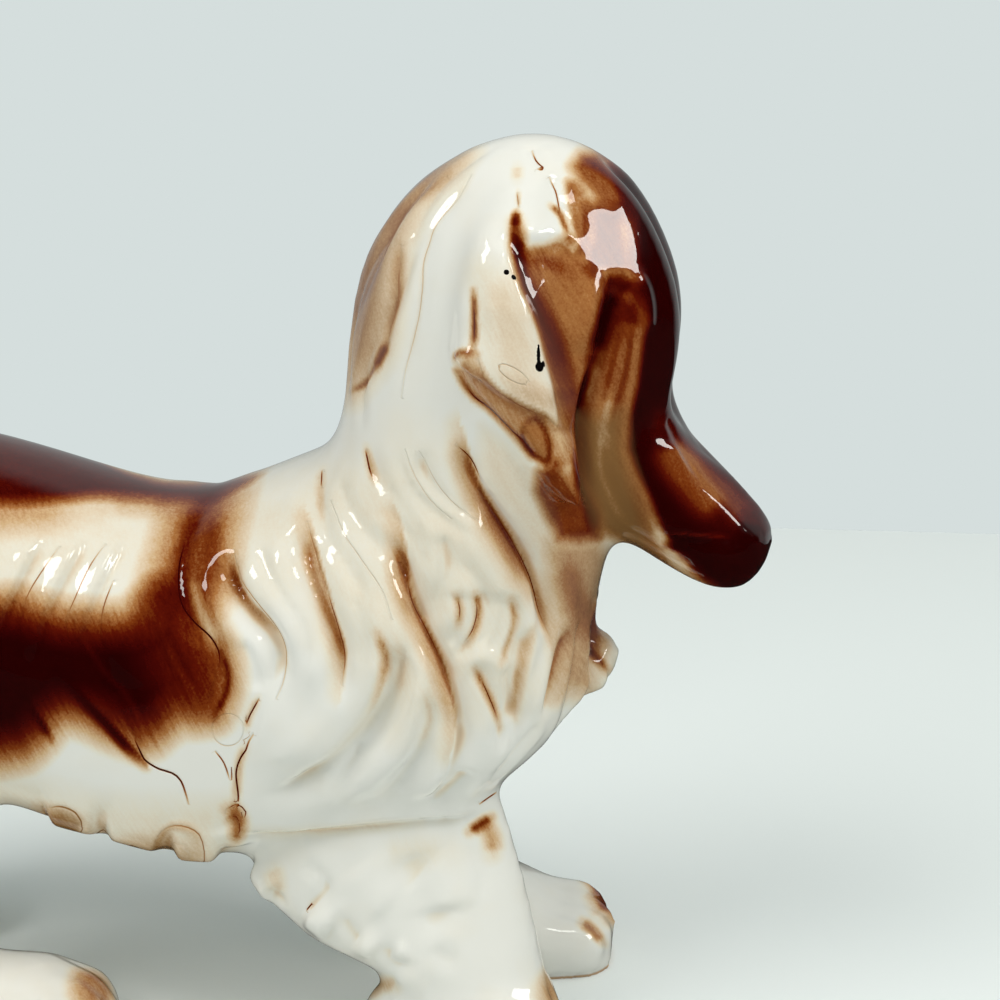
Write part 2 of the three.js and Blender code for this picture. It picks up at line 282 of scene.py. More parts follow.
# %% Smoothing the facets away
SMOOTH_ROUNDS = 60
SLIM = 0.12  # what slim parts get of the smoothing
MUZZLE_X = 148  # mm, the muzzle lies before this
MUZZLE_TOP_Z = 195  # mm
TUFT_X = 116  # mm, the breast tuft lies before this
TUFT_TOP_Z = 128  # mm
TUFT_LOW_Z = 85  # mm
CHANGE_ROUNDS = 12
SOLE = 1.2  # mm, points lower than this are the flat soles

forward, height = points[:, 0], points[:, 2]
muzzle = (forward > MUZZLE_X) & (height < MUZZLE_TOP_Z) & (height > TUFT_TOP_Z)
tuft = (forward > TUFT_X) & (height <= TUFT_TOP_Z) & (height > TUFT_LOW_Z)
factor = evened(np.where(slim | muzzle | tuft, SLIM, HALF_WAY), CHANGE_ROUNDS)
sole = height < SOLE
points = smoothed(points, edges, factor, SMOOTH_ROUNDS)
points[sole, 2] = 0
points[:, 2] = np.maximum(points[:, 2], 0)
move_to(skin, points)
apply_modifier(skin, "SUBSURF", levels=1, render_levels=1)
points = points_of(skin)
points[:, 2] = np.maximum(points[:, 2], 0)
move_to(skin, points)
base = points_of(skin)
outward = normals_of(skin)
edges = edges_of(skin)
print("fine points:", len(base))

# %% [markdown]
# The hair is modelled as long locks with creases between them. A sculptor would draw them with a loop tool.
# We draw each crease as a line, and a ray along the line of sight finds where it lies on the dog.
# The far side is measured as if folded onto the near one, so every line is carved on both.

# %% Folding the far side onto the near one
KNEE_HEIGHT = 45  # mm
FAR_LEGS = {"front_left_leg": (-13, 45), "hind_left_leg": (68, -56)}  # mm: step between the feet, lean
FOLD_SOFT = 4  # mm


def fade(low, high, values):
    """0 at low and 1 at high, with a soft start and end."""
    t = np.clip((values - low) / (high - low), 0, 1)
    return t * t * (3 - 2 * t)


owner = {node: belonging(base, node) for node in SLIM_NODES + LEG_NODES}
twin = base.copy()
twin[:, 1] = -np.abs(base[:, 1])
for node, (step, lean) in FAR_LEGS.items():
    stride = step + lean * base[:, 2] / np.hypot(base[:, 2], KNEE_HEIGHT)
    twin[:, 0] += stride * fade(-FOLD_SOFT, FOLD_SOFT, owner[node])
twin_outward = outward.copy()
twin_outward[base[:, 1] > 0, 1] *= -1
print("points on the far side:", int((base[:, 1] > 0).sum()))

# %% [markdown]
# A line is drawn in the view that shows it best: in the photo, or from the side, from behind or from the
# front. Each view is a small function that says where a ray starts and which way it goes. Many close rays
# then lay a smooth curve onto the skin.

# %% Lines of sight
OUTSIDE = 400  # mm, a place that is safely outside the dog


def from_photo(across, down):
    """Where a photo pixel is seen from, and the direction in which it lies."""
    sight = to_right * (across - PHOTO_SIZE / 2) - to_top * (down - PHOTO_SIZE / 2) - to_eye * FOCAL_PX
    return eye, sight / np.linalg.norm(sight)


def from_side(x, z):
    return np.array([x, -OUTSIDE, z]), np.array([0, 1, 0])


def from_behind(y, z):
    return np.array([-OUTSIDE, y, z]), np.array([1, 0, 0])


def from_front(y, z):
    return np.array([OUTSIDE, y, z]), np.array([-1, 0, 0])


def curve_through(path, step):
    """A smooth curve through the points of a path, as closely spaced points."""
    given = np.array(path, float)
    padded = np.vstack([2 * given[0] - given[1], given, 2 * given[-1] - given[-2]])
    fine = []
    for before, start, end, after in zip(padded, padded[1:], padded[2:], padded[3:]):
        count = max(2, int(np.linalg.norm(end - start) / step))
        for t in np.linspace(0, 1, count, endpoint=False):
            bend = (2 * before - 5 * start + 4 * end - after) * t ** 2
            turn = (3 * start - before - 3 * end + after) * t ** 3
            fine.append(0.5 * (2 * start + (end - before) * t + bend + turn))
    fine.append(given[-1])
    return np.array(fine)


STEP_PX = 4
STEP_MM = 1.2
PATH_ROUNDS = 6


def cast(path, view):
    """Where a drawn path lies on the dog: places in mm and their normals, smoothed along the path."""
    places = []
    facing = []
    step = STEP_PX if view is from_photo else STEP_MM
    for pair in curve_through(path, step):
        start, sight = view(*pair)
        found, place, normal, _ = skin.ray_cast(Vector(start * MM), Vector(sight))
        if found:
            places.append(np.array(place) / MM)
            facing.append(np.array(normal))
    places = np.array(places)
    facing = np.array(facing)
    for _ in range(PATH_ROUNDS if len(places) > 2 else 0):
        places[1:-1] = (places[:-2] + 2 * places[1:-1] + places[2:]) / 4
        facing[1:-1] = (facing[:-2] + 2 * facing[1:-1] + facing[2:]) / 4
    return places, facing


print("a crease point about every", STEP_MM, "mm")

# %% [markdown]
# Three strokes make all the hair. A groove is the crease between two locks, a ridge is a lump, and a
# ledge is a lock that lies over its neighbour. Each one adds to the relief, the height in mm that a point
# moves along its normal.

# %% Grooves, ridges and ledges
LOCK_DEPTH = 0.85  # of the depth that a stroke gives
FACING = -0.1  # a point that faces away from a stroke is left alone
GROOVE_REACH = 7  # stroke widths
# Share of a groove's depth, and half width in stroke widths
CUT_SHARE, CUT_HALF = 0.45, 0.8
VALLEY_SHARE, VALLEY_HALF = 0.55, 2.0
SHOULDER_SHARE, SHOULDER_HALF = 0.24, 1.5
SHOULDER_AT = 3.6  # stroke widths from the middle of a groove
LUMP_REACH = 3  # widths of a ridge or a ledge
LEDGE_SINK = 0.7  # how deep the low side of a ledge lies, in heights of its high side
LEDGE_EDGE = 1.5  # mm, half the width of the step between its sides


def nearest(points, path):
    """Distance to a path of points, how far along it, and which piece of it is nearest."""
    start = path[:-1]
    run = path[1:] - start
    length = np.maximum((run ** 2).sum(1), 1e-9)
    offset = points[:, None] - start
    share = np.clip((offset * run).sum(2) / length, 0, 1)
    gap = ((offset - share[..., None] * run) ** 2).sum(2)
    piece = gap.argmin(1)
    rows = np.arange(len(points))
    along = (piece + share[rows, piece]) / len(run)
    return np.sqrt(gap[rows, piece]), along, piece


def taper(along, head=0.18, tail=0.25):
    """Lets a stroke begin and end softly."""
    return fade(0, head, along) * fade(0, tail, 1 - along)


relief = np.zeros(len(base))


def around(path, reach, view):
    """The points within reach of a path: rows, distance, share along it, signed side."""
    places, facing = cast(path, view)
    inside = (twin > places.min(0) - reach) & (twin < places.max(0) + reach)
    rows = np.flatnonzero(inside.all(axis=1))
    far, along, piece = nearest(twin[rows], places)
    use = (far < reach) & ((twin_outward[rows] * facing[piece]).sum(1) > FACING)
    rows, far, along, piece = rows[use], far[use], along[use], piece[use]
    run = places[1:] - places[:-1]
    left = np.cross(facing[piece], run[piece])
    side = np.sign((left * (twin[rows] - places[piece])).sum(1))
    return rows, far, along, side


def bell(height, half_width, far):
    """A rounded profile: its full height in the middle, and next to nothing two half widths away."""
    return height * np.exp(-(far / half_width) ** 2)


def groove(width, depth, path, view=from_photo):
    """A crease with a wide valley and raised shoulders."""
    rows, far, along, _ = around(path, GROOVE_REACH * width, view)
    cut = bell(CUT_SHARE, CUT_HALF * width, far)
    valley = bell(VALLEY_SHARE, VALLEY_HALF * width, far)
    shoulder = bell(SHOULDER_SHARE, SHOULDER_HALF * width, far - SHOULDER_AT * width)
    relief[rows] -= LOCK_DEPTH * depth * (cut + valley - shoulder) * taper(along)


def ridge(width, height, path, view=from_photo):
    """A lump along a path, or a hollow where its height is negative."""
    rows, far, along, _ = around(path, LUMP_REACH * width, view)
    relief[rows] += bell(height, width, far) * taper(along)


def ledge(height, up, down, path, view=from_photo):
    """A lock that overlaps: raised on the left of the path, lowered on its right."""
    rows, far, along, side = around(path, LUMP_REACH * max(up, down), view)
    signed = far * side
    high = bell(1, up, np.maximum(signed, 0))
    low = bell(-LEDGE_SINK, down, np.minimum(signed, 0))
    profile = low + (high - low) * fade(-LEDGE_EDGE, LEDGE_EDGE, signed)
    relief[rows] += height * profile * taper(along, 0.2, 0.2)


print("strokes ready for points:", len(relief))

# %% [markdown]
# Shoulder, chest and flank carry the deepest locks. Every row below is one stroke: its width and depth in
# mm, or for a ledge its height and the reach of its two sides in mm, and then its path in photo pixels.

# %% Creases of the body
BODY_CREASES = [
    (2.0, 1.7, [(74, 606), (72, 626), (82, 650), (100, 680), (124, 706)]),
    (1.7, 1.3, [(104, 608), (100, 640), (112, 672), (130, 705)]),
    (1.7, 1.2, [(142, 606), (148, 622), (160, 650), (178, 682)]),
    (2.6, 1.6, [(214, 490), (196, 520), (182, 552), (178, 586), (188, 614), (206, 636), (220, 660),
                (218, 690), (206, 720)]),
    (2.4, 4.1, [(226, 548), (233, 582), (252, 611), (272, 630), (285, 655), (286, 680), (276, 706)]),
    (1.8, 2.5, [(258, 540), (266, 568), (282, 596), (300, 622), (308, 650), (304, 684)]),
    (1.6, 2.0, [(240, 640), (256, 668), (258, 694)]),
    (2.6, 5.1, [(303, 520), (304, 552), (313, 586), (328, 622), (341, 655), (343, 684), (334, 712)]),
    (2.2, 2.0, [(322, 466), (318, 500), (327, 536), (348, 568), (366, 598), (374, 622)]),
    (2.7, 5.1, [(384, 520), (397, 556), (405, 582), (418, 612), (431, 640), (445, 668), (455, 700),
                (461, 732), (452, 762), (430, 790)]),
    (1.8, 1.5, [(366, 444), (374, 468), (390, 492), (408, 512), (424, 540), (428, 572)]),
    (2.8, 4.4, [(374, 628), (386, 655), (384, 684), (369, 718), (338, 754), (296, 786), (252, 802)]),
    (2.2, 3.1, [(396, 640), (403, 668), (398, 700), (382, 735), (352, 772), (330, 800)]),
    (2.0, 2.7, [(425, 690), (430, 720), (420, 752), (396, 786), (372, 806)]),
    (2.4, 3.7, [(415, 450), (424, 474), (442, 496), (462, 512), (484, 524)]),
    (2.6, 5.1, [(460, 432), (468, 462), (482, 490), (499, 516), (522, 546), (538, 576), (549, 612),
                (554, 660)]),
    (1.6, 2.5, [(455, 590), (460, 608), (458, 630), (448, 650)]),
    (1.8, 3.2, [(474, 588), (480, 608), (477, 626), (468, 646), (452, 664)]),
    (1.7, 2.5, [(496, 588), (504, 612), (498, 636), (484, 658)]),
    (1.8, 2.9, [(510, 592), (518, 618), (512, 642), (498, 668)]),
    (2.0, 3.7, [(470, 660), (482, 682), (494, 706), (502, 730), (498, 756)]),
    (2.0, 3.1, [(534, 622), (526, 655), (521, 690), (520, 728), (508, 760)]),
    (1.8, 2.7, [(505, 664), (512, 696), (514, 728)]),
    (1.6, 2.4, [(572, 626), (560, 654), (552, 690), (540, 724)]),
    (1.8, 3.4, [(598, 604), (594, 636), (596, 660)]),
    (2.0, 2.7, [(440, 530), (447, 562), (440, 600), (434, 626)]),
    (2.0, 2.7, [(470, 770), (452, 790), (426, 806)]),
    (1.2, 1.3, [(338, 474), (346, 502), (362, 530), (382, 550), (392, 568)]),
    (1.2, 1.3, [(382, 502), (398, 522), (418, 550), (430, 576)]),
    (1.1, 1.2, [(455, 554), (475, 578), (487, 598), (491, 622), (479, 646), (463, 660)]),
    (1.1, 1.3, [(519, 602), (523, 626), (515, 655), (507, 672)]),
    (1.2, 1.5, [(551, 631), (541, 659), (531, 687), (527, 711), (525, 730)]),
    (1.2, 1.5, [(360, 745), (350, 763), (338, 791), (336, 804)]),
    (1.2, 1.4, [(543, 719), (527, 739), (507, 763), (488, 785)]),
    (1.2, 1.3, [(250, 600), (268, 634), (276, 664), (270, 700)]),
    (1.2, 1.3, [(404, 600), (420, 640), (436, 676), (444, 706)]),
    (1.2, 1.3, [(350, 590), (362, 620), (366, 650), (360, 682)]),
]
FLANK_LOCKS = [
    (1.8, 4, 4, [(-8, 666), (-2, 626), (18, 582), (44, 532)]),
    (1.8, 4, 4, [(36, 666), (42, 622), (60, 584), (88, 532)]),
    (1.6, 4, 4, [(78, 656), (84, 622), (100, 584), (126, 534)]),
]
CHEST_LOCKS = [
    (1.6, 7, 5, [(407, 448), (405, 466), (415, 486), (435, 506), (463, 526), (482, 536)]),
    (1.3, 8, 5, [(461, 440), (471, 470), (491, 498), (511, 526), (531, 558), (543, 587), (551, 619),
                 (553, 650)]),
    (1.5, 8, 5, [(460, 735), (455, 707), (439, 667), (419, 622), (407, 590), (395, 562), (388, 530)]),
    (1.5, 10, 5, [(266, 799), (294, 783), (330, 759), (362, 727), (377, 703), (385, 679), (385, 655),
                  (379, 631)]),
    (1.2, 7, 4, [(338, 790), (358, 743), (379, 711), (391, 691), (399, 667), (399, 647), (391, 623)]),
    (1.1, 6, 4, [(385, 785), (411, 751), (419, 727), (421, 695), (413, 671)]),
    (1.2, 6, 4, [(426, 800), (446, 775), (458, 745), (460, 725)]),
    (1.2, 7, 5, [(230, 552), (238, 583), (254, 607), (274, 627), (284, 647), (282, 671), (272, 695)]),
    (1.0, 5, 4, [(505, 730), (496, 706), (484, 682), (471, 660)]),
    (1.0, 5, 4, [(532, 625), (526, 655), (521, 690), (519, 726)]),
]
for stroke in BODY_CREASES:
    groove(*stroke)
for stroke in CHEST_LOCKS:
    ledge(*stroke)
for stroke in FLANK_LOCKS:
    ledge(*stroke)
ridge(9, 1.6, [(250, 720), (285, 735), (310, 745), (300, 775)])
print("body creases:", len(BODY_CREASES), "deepest in mm:", round(float(-relief.min()), 2))

# %% [markdown]
# Some places of the head are flat rather than creased: the brow and the sides of the muzzle, which mirror
# a window in one piece. Such a place is outlined over the photo, with a soft edge, and pressed towards
# the plane closest to it.

# %% Soft areas and flat planes
SOFT_REACH = 40  # px round an area in which its edge may fade
PRESS = 3.5  # mm, the farthest a point is pressed
STEEP = 0.3  # a point that is turned further away from the plane isn't pressed

across, down = photo_px(twin)
to_camera = twin_outward @ to_eye > 0


def pixels_near(path, reach):
    """The points that the photo shows within reach of a path, and their pixels."""
    low = path.min(0) - reach
    high = path.max(0) + reach
    rows = np.flatnonzero((across > low[0]) & (across < high[0]) & (down > low[1]) & (down < high[1]))
    return rows, np.stack([across[rows], down[rows]], axis=1)


def area(soft, polygon):
    """1 inside a photo polygon and 0 outside, with a soft edge."""
    ring = np.array(polygon + polygon[:1], float)
    rows, spots = pixels_near(ring, SOFT_REACH)
    far, _, _ = nearest(spots, ring)
    inside = np.zeros(len(rows), bool)
    for (x0, y0), (x1, y1) in zip(ring, ring[1:]):
        crosses = (y0 > spots[:, 1]) != (y1 > spots[:, 1])
        rise = (y1 - y0) if y1 != y0 else 1e-9
        inside ^= crosses & (spots[:, 0] < (x1 - x0) * (spots[:, 1] - y0) / rise + x0)
    cover = np.zeros(len(base))
    cover[rows] = np.clip(0.5 + np.where(inside, far, -far) / (2 * soft), 0, 1)
    return cover


def flatten(strength, soft, polygon):
    """Presses the skin inside a photo polygon towards the plane that lies closest to it."""
    cover = area(soft, polygon) * to_camera
    inner = twin[cover > 0.5]
    centre = inner.mean(0)
    plane = np.linalg.svd(inner - centre, full_matrices=False)[2][2]
    slant = twin_outward @ plane
    rows = np.flatnonzero((cover > 0) & (np.abs(slant) > STEEP))
    gap = ((centre - twin[rows]) @ plane) / slant[rows] - relief[rows]
    relief[rows] += strength * cover[rows] * np.clip(gap, -PRESS, PRESS)


print("points that face the camera:", int(to_camera.sum()))

# %% [markdown]
# The head is bowed, with a smooth ear laid back, a deep fold before the cheek, and a socket under the brow.
# The rear edge of the ear and the fold are ledges, because one lock of clay lies over the other there.

# %% Creases of the head
EAR_FRONT = [(560, 440), (556, 416), (552, 395), (548, 372), (543, 352), (539, 333), (532, 310),
             (523, 285), (517, 262), (513, 248), (512, 230), (517, 208)]
EAR_BACK = [(456, 352), (470, 372), (487, 383), (501, 395), (524, 409), (542, 418), (557, 430)]
CHEEK_FOLD = [(628, 284), (612, 298), (604, 315), (598, 344), (588, 374), (580, 402), (577, 430),
              (578, 462), (583, 492), (596, 520)]
HEAD_CREASES = [
    (1.6, 2.4, CHEEK_FOLD),
    (1.3, 1.2, [(455, 368), (462, 384), (473, 398), (487, 409), (501, 423), (515, 437), (531, 457),
                (547, 465)]),
    (1.1, 1.0, [(524, 425), (521, 441), (531, 455), (547, 462), (550, 446), (544, 428), (535, 418)]),
    (1.4, 1.3, [(401, 238), (397, 269), (394, 299), (389, 322), (384, 350), (374, 371)]),
    (1.2, 1.3, [(471, 280), (473, 326), (475, 352)]),
    (1.0, 1.1, [(530, 146), (536, 158), (543, 168)]),
    (1.1, 1.0, [(664, 534), (685, 537), (712, 541), (738, 542)]),
    (1.2, 1.1, [(352, 392), (366, 378), (376, 364)]),
    (1.5, 0.9, [(505, 142), (472, 160), (437, 192), (416, 232), (406, 280), (400, 330)]),
    (1.5, 0.9, [(472, 174), (457, 198), (436, 223), (428, 244), (422, 285), (411, 345), (401, 400)]),
    (1.5, 1.0, [(440, 172), (402, 210), (384, 249), (363, 300), (352, 340)]),
    (1.4, 1.3, [(549, 172), (556, 189), (560, 209), (563, 226)]),
    (0.9, 0.8, [(649, 424), (655, 433), (660, 446)]),
]
for stroke in HEAD_CREASES:
    groove(*stroke)
FRINGE = [(505, 220), (520, 236), (540, 243), (560, 238), (572, 250), (588, 262)]
ledge(2.0, 4, 5, FRINGE)
ledge(1.3, 9, 5, EAR_FRONT)
ledge(1.6, 8, 4, EAR_BACK)
ledge(2.2, 8, 6, list(reversed(CHEEK_FOLD)))
ridge(6, -1.6, [(604, 292), (616, 294), (628, 300)])
ridge(2.4, 1.2, [(632, 270), (642, 284), (648, 306), (647, 340)])
ridge(3.0, 1.0, [(478, 225), (476, 255), (468, 290)])
ridge(3.5, 1.3, [(449, 352), (462, 354), (478, 358)])
BROW_PLANE = [(584, 206), (600, 203), (618, 209), (628, 235), (636, 262), (635, 274), (612, 273),
              (594, 270), (582, 258), (588, 240), (590, 222)]
MUZZLE_SIDE = [(650, 440), (672, 446), (687, 472), (700, 488), (722, 510), (736, 530), (735, 545),
               (700, 540), (665, 530), (650, 500)]
MUZZLE_TOP = [(668, 424), (680, 440), (700, 455), (735, 480), (760, 505), (768, 530), (755, 545),
              (740, 530), (724, 508), (700, 484), (687, 466), (676, 444)]
TEMPLE_DISH = [(512, 228), (530, 246), (560, 240), (585, 262), (600, 278), (594, 312), (584, 345),
               (564, 345), (545, 325), (530, 295), (516, 262)]
TEMPLE_MIDDLE = 556  # px
TEMPLE_TILT = 0.075  # mm per px, so that the temple turns towards the eye
TEMPLE_SOFT = 9  # px
FLAT = 0.9  # of the way to the plane
relief += area(TEMPLE_SOFT, TEMPLE_DISH) * TEMPLE_TILT * (across - TEMPLE_MIDDLE) * to_camera
for soft, polygon in ((6, BROW_PLANE), (4, MUZZLE_SIDE), (4, MUZZLE_TOP)):
    flatten(FLAT, soft, polygon)
print("head creases:", len(HEAD_CREASES))

# %% [markdown]
# The legs are feathered, with lumps of hair that stand out of their outline. The hindquarters and tail
# lie outside the photo and carry the same kind of locks. Their lines are given in the dog's own
# millimetres, and are cast from the side, from behind and from the front.

# %% Creases of the legs, hindquarters and tail
LEG_CREASES = [
    (1.2, 1.0, [(262, 872), (275, 893), (290, 906)]),
    (1.4, 1.5, [(331, 884), (318, 898), (309, 914)]),
    (1.2, 1.0, [(300, 862), (322, 876), (332, 892)]),
    (1.2, 1.2, [(386, 944), (391, 960), (402, 967), (416, 960)]),
    (1.2, 0.9, [(345, 915), (350, 930), (366, 944)]),
    (1.6, 0.9, [(430, 948), (442, 958), (460, 962)]),
    (1.4, 0.8, [(470, 842), (482, 870), (480, 905)]),
]
SIDE_CREASES = [
    (1.6, 1.5, [(-45, 142), (-58, 122), (-64, 100)]),
    (1.7, 1.6, [(-60, 156), (-75, 136), (-81, 112)]),
    (1.7, 1.6, [(-77, 164), (-92, 145), (-98, 120)]),
    (1.6, 1.4, [(-92, 168), (-105, 150), (-109, 128)]),
    (1.5, 1.4, [(-67, 116), (-80, 100), (-84, 80)]),
    (1.5, 1.4, [(-82, 112), (-95, 95), (-98, 74)]),
    (1.5, 1.4, [(-56, 100), (-68, 84), (-71, 64)]),
    (1.4, 1.2, [(-92, 72), (-101, 58), (-103, 44)]),
    (1.4, 1.2, [(-80, 64), (-90, 50), (-93, 36)]),
    (1.3, 1.1, [(-66, 55), (-75, 42), (-77, 30)]),
    (1.4, 1.5, [(-118, 160), (-138, 151), (-155, 137), (-166, 119)]),
    (1.4, 1.5, [(-118, 151), (-134, 141), (-148, 126), (-158, 110)]),
    (1.2, 1.0, [(-126, 164), (-144, 157), (-160, 145), (-170, 128)]),
]
REAR_CREASES = [
    (1.5, 1.3, [(-10, 262), (-12, 240), (-8, 215), (-14, 192)]),
    (1.5, 1.3, [(-24, 250), (-27, 228), (-22, 205), (-28, 188)]),
    (1.4, 1.0, [(0, 250), (2, 225), (-2, 200)]),
]
FRONT_CREASES = [
    (1.6, 1.5, [(-8, 132), (-12, 118), (-9, 100)]),
    (1.6, 1.5, [(-20, 136), (-25, 116), (-20, 94)]),
    (1.4, 1.2, [(-14, 108), (-16, 95), (-12, 84)]),
]
ROSETTE = [(180 + 21 * math.cos(a), 843 + 19 * math.sin(a)) for a in np.linspace(0.4, 2 * math.pi, 15)]
FEATHER_LUMPS = [
    (5.5, 3.4, [(256, 866), (266, 882), (276, 894)]),
    (5.0, 3.4, [(308, 912), (320, 922), (332, 930)]),
    (4.0, 2.4, [(356, 940), (366, 946), (376, 952)]),
    (9.0, 3.2, [(46, 811), (74, 818), (102, 825)]),
    (9.0, 3.0, [(104, 826), (136, 835), (168, 843)]),
    (9.0, 3.8, [(172, 844), (200, 848), (224, 848)]),
    (8.0, 1.6, [(352, 866), (372, 892), (392, 912)]),
    (6.0, -1.6, [(405, 850), (420, 880), (430, 910), (446, 940)]),
    (6.0, 2.0, [(578, 684), (596, 682), (608, 674)]),
    (9.0, 1.8, [(420, 870), (440, 890), (446, 915)]),
    (3.2, 1.6, [(394, 948), (402, 955), (408, 950)]),
    (5.0, 1.2, [(396, 975), (412, 982), (430, 984)]),
    (1.7, 0.9, ROSETTE),
    (1.5, 0.9, [(176, 846), (172, 838), (180, 833), (188, 838), (187, 847)]),
    (4.2, 1.5, [(224, 826), (232, 836), (240, 846)]),
]
for stroke in LEG_CREASES:
    groove(*stroke)
for stroke in SIDE_CREASES:
    groove(*stroke, from_side)
for stroke in REAR_CREASES:
    groove(*stroke, from_behind)
for stroke in FRONT_CREASES:
    groove(*stroke, from_front)
for stroke in FEATHER_LUMPS:
    ridge(*stroke)
LEG_SEAM = [(232, 832), (300, 829), (360, 824), (420, 818), (470, 814), (500, 806)]
ledge(1.8, 7, 7, LEG_SEAM)
strokes = len(LEG_CREASES + SIDE_CREASES + REAR_CREASES + FRONT_CREASES + FEATHER_LUMPS)
print("strokes on legs, hindquarters and tail:", strokes)

# %% [markdown]
# Forehead, toes and vent are forms of their own rather than hair. They follow from simple distances in
# millimetres, so that both sides of the dog get them alike. The forehead is a valley between two brows.

# %% Forehead
VALLEY_WIDTH = 5  # mm
VALLEY_DEPTH = 2.4  # mm
BROW_ASIDE = 13  # mm from the middle to a brow's crest
BROW_WIDTH = 6  # mm
BROW_HEIGHT = 1.2  # mm
# The forehead begins at the first and is complete at the second of each pair
FACES_FORWARD = (0.2, 0.6)  # forward share of a normal
FOREHEAD_Z = (182, 200)  # mm
FOREHEAD_X = (120, 130)  # mm
forward, sideways, height = base.T
forehead = fade(*FACES_FORWARD, outward[:, 0]) * fade(*FOREHEAD_Z, height) * fade(*FOREHEAD_X, forward)
brows = bell(BROW_HEIGHT, BROW_WIDTH, np.abs(sideways) - BROW_ASIDE)
valley = bell(VALLEY_DEPTH, VALLEY_WIDTH, sideways)
relief += forehead * (brows - valley)
print("points on the forehead:", int((forehead > 0.5).sum()))

# %% [markdown]
# Every paw has three clefts between its toes. The far forepaw is high and round, and the far hind paw is
# slim, as the photo's left edge shows nothing of it. The kiln vent lets hot air out in the firing. The skin
# has no wall, so the vent is a dimple under the belly here.

# %% Paws and vent
# Front and middle of each paw in mm, along and across the dog
PAW_TIPS = {
    "front_right_leg": (113.9, -34),
    "front_left_leg": (126.9, 34),
    "hind_right_leg": (-19.1, -38),
    "hind_left_leg": (-87.1, 38),
}
TOE_PITCH = 9.5  # mm
CLEFT_WIDTH = 2.6  # mm
CLEFT_DEPTH = 0.6  # mm
CLEFTS = (-1, 0, 1)  # places in toe pitches from the middle
PAW_HALF = 26  # mm
FULL_CLEFT = 16  # mm behind the tip, from where a cleft has its full depth
TIP_ROOM = 8  # mm before the tip that still belong to the paw
TOES_TOP = (27, 20)  # mm, the clefts fade in between these heights
for tip, middle in PAW_TIPS.values():
    toes = fade(tip - PAW_HALF, tip - FULL_CLEFT, forward) * (forward < tip + TIP_ROOM)
    toes = toes * fade(*TOES_TOP, height) * (np.abs(sideways - middle) < PAW_HALF)
    for cleft in CLEFTS:
        aside = (sideways - middle - cleft * TOE_PITCH) / CLEFT_WIDTH
        relief -= CLEFT_DEPTH * toes * np.exp(-aside ** 2)

# The two far paws
BORDER = 2  # mm on each side of the line between two castings
PUFF = 1.5  # mm
PUFF_MIDDLE = (572, 884)  # photo px
PUFF_HALF = (34, 30)  # photo px
HIND_SLIM = 4.4  # mm
HIND_ACROSS = (-70, -10)  # photo px, the paw gets slimmer from the first to the second
HIND_DOWN = (815, 845)  # photo px
near_leg = {node: fade(-BORDER, BORDER, owner[node]) for node in LEG_NODES}
paw_across, paw_down = photo_px(base)
paw_far = np.hypot(
    (paw_across - PUFF_MIDDLE[0]) / PUFF_HALF[0],
    (paw_down - PUFF_MIDDLE[1]) / PUFF_HALF[1],
)
slim_share = HIND_SLIM * near_leg["hind_left_leg"] * fade(*HIND_ACROSS, paw_across)
relief += PUFF * fade(1.2, 0.1, paw_far) * near_leg["front_left_leg"]
relief -= slim_share * fade(*HIND_DOWN, paw_down)

# The kiln vent
VENT_DEPTH = 5  # mm
BELLY_TOP = 75  # mm, all of the belly's underside is lower
vent_far = np.hypot(forward - VENT_AT.x, sideways)
relief -= VENT_DEPTH * fade(VENT_RADIUS + 0.8, VENT_RADIUS - 1.2, vent_far) * (height < BELLY_TOP)
print("toe clefts:", len(CLEFTS) * len(PAW_TIPS))

# %% [markdown]
# Now the relief moves the skin. Fresh slip softens what it touches, so the whole skin is smoothed a
# little, and a few places more: where the ear melts into the neck, along its edge, at the end of the
# fringe and on the far forepaw.

# %% Moving the skin
SKIN_ROUNDS = 3
SOLE_RELIEF = 0.2  # of the relief is kept near the soles
SOLE_BAND = 2  # mm, the height that counts as near the soles
FLAT_SOLE = 0.3  # mm, points lower than this stay on the table
relief[height < SOLE_BAND] *= SOLE_RELIEF
shape = base + outward * relief[:, None]
shape = spread(shape, edges, np.full(len(base), HALF_WAY), SKIN_ROUNDS)
ear_melt = area(10, [(455, 225), (490, 195), (560, 195), (556, 228), (530, 232), (512, 222), (500, 240),
                     (484, 260), (482, 340), (458, 345)])
ear_edge = area(8, [(504, 222), (532, 236), (556, 330), (568, 410), (548, 410), (528, 320), (510, 270)])
fringe_end = area(8, [(526, 244), (548, 238), (570, 238), (604, 262), (602, 286), (570, 284), (534, 280)])
plump_paw = near_leg["front_left_leg"] * fade(46, 34, height)
for soft_place, rounds in ((ear_melt, 60), (ear_edge, 14), (fringe_end, 25), (plump_paw, 50)):
    shape = spread(shape, edges, HALF_WAY * soft_place, rounds)
shape[height < FLAT_SOLE, 2] = 0
shape[:, 2] = np.maximum(shape[:, 2], 0)
print("relief in mm:", round(float(relief.min()), 2), "to", round(float(relief.max()), 2))

# %% [markdown]
# Brown slip was sprayed and brushed on before glazing. It is thick and nearly black on the face and
# flank, thin and orange at its edges, and it gathers in the creases. A picture could be projected, but it
# would show only one side. Instead every point of the skin gets a thickness of brown: areas and lines are
# laid over the photo, each with its own softness. An area has the softness of its edge in pixels, and a
# line its radius and softness.

# %% Spray gun and sponge
BARE_ENDS = 0.35  # the share of a line's strength that its ends keep
brown = np.zeros(len(base))
taupe = np.zeros(len(base))
olive = np.zeros(len(base))


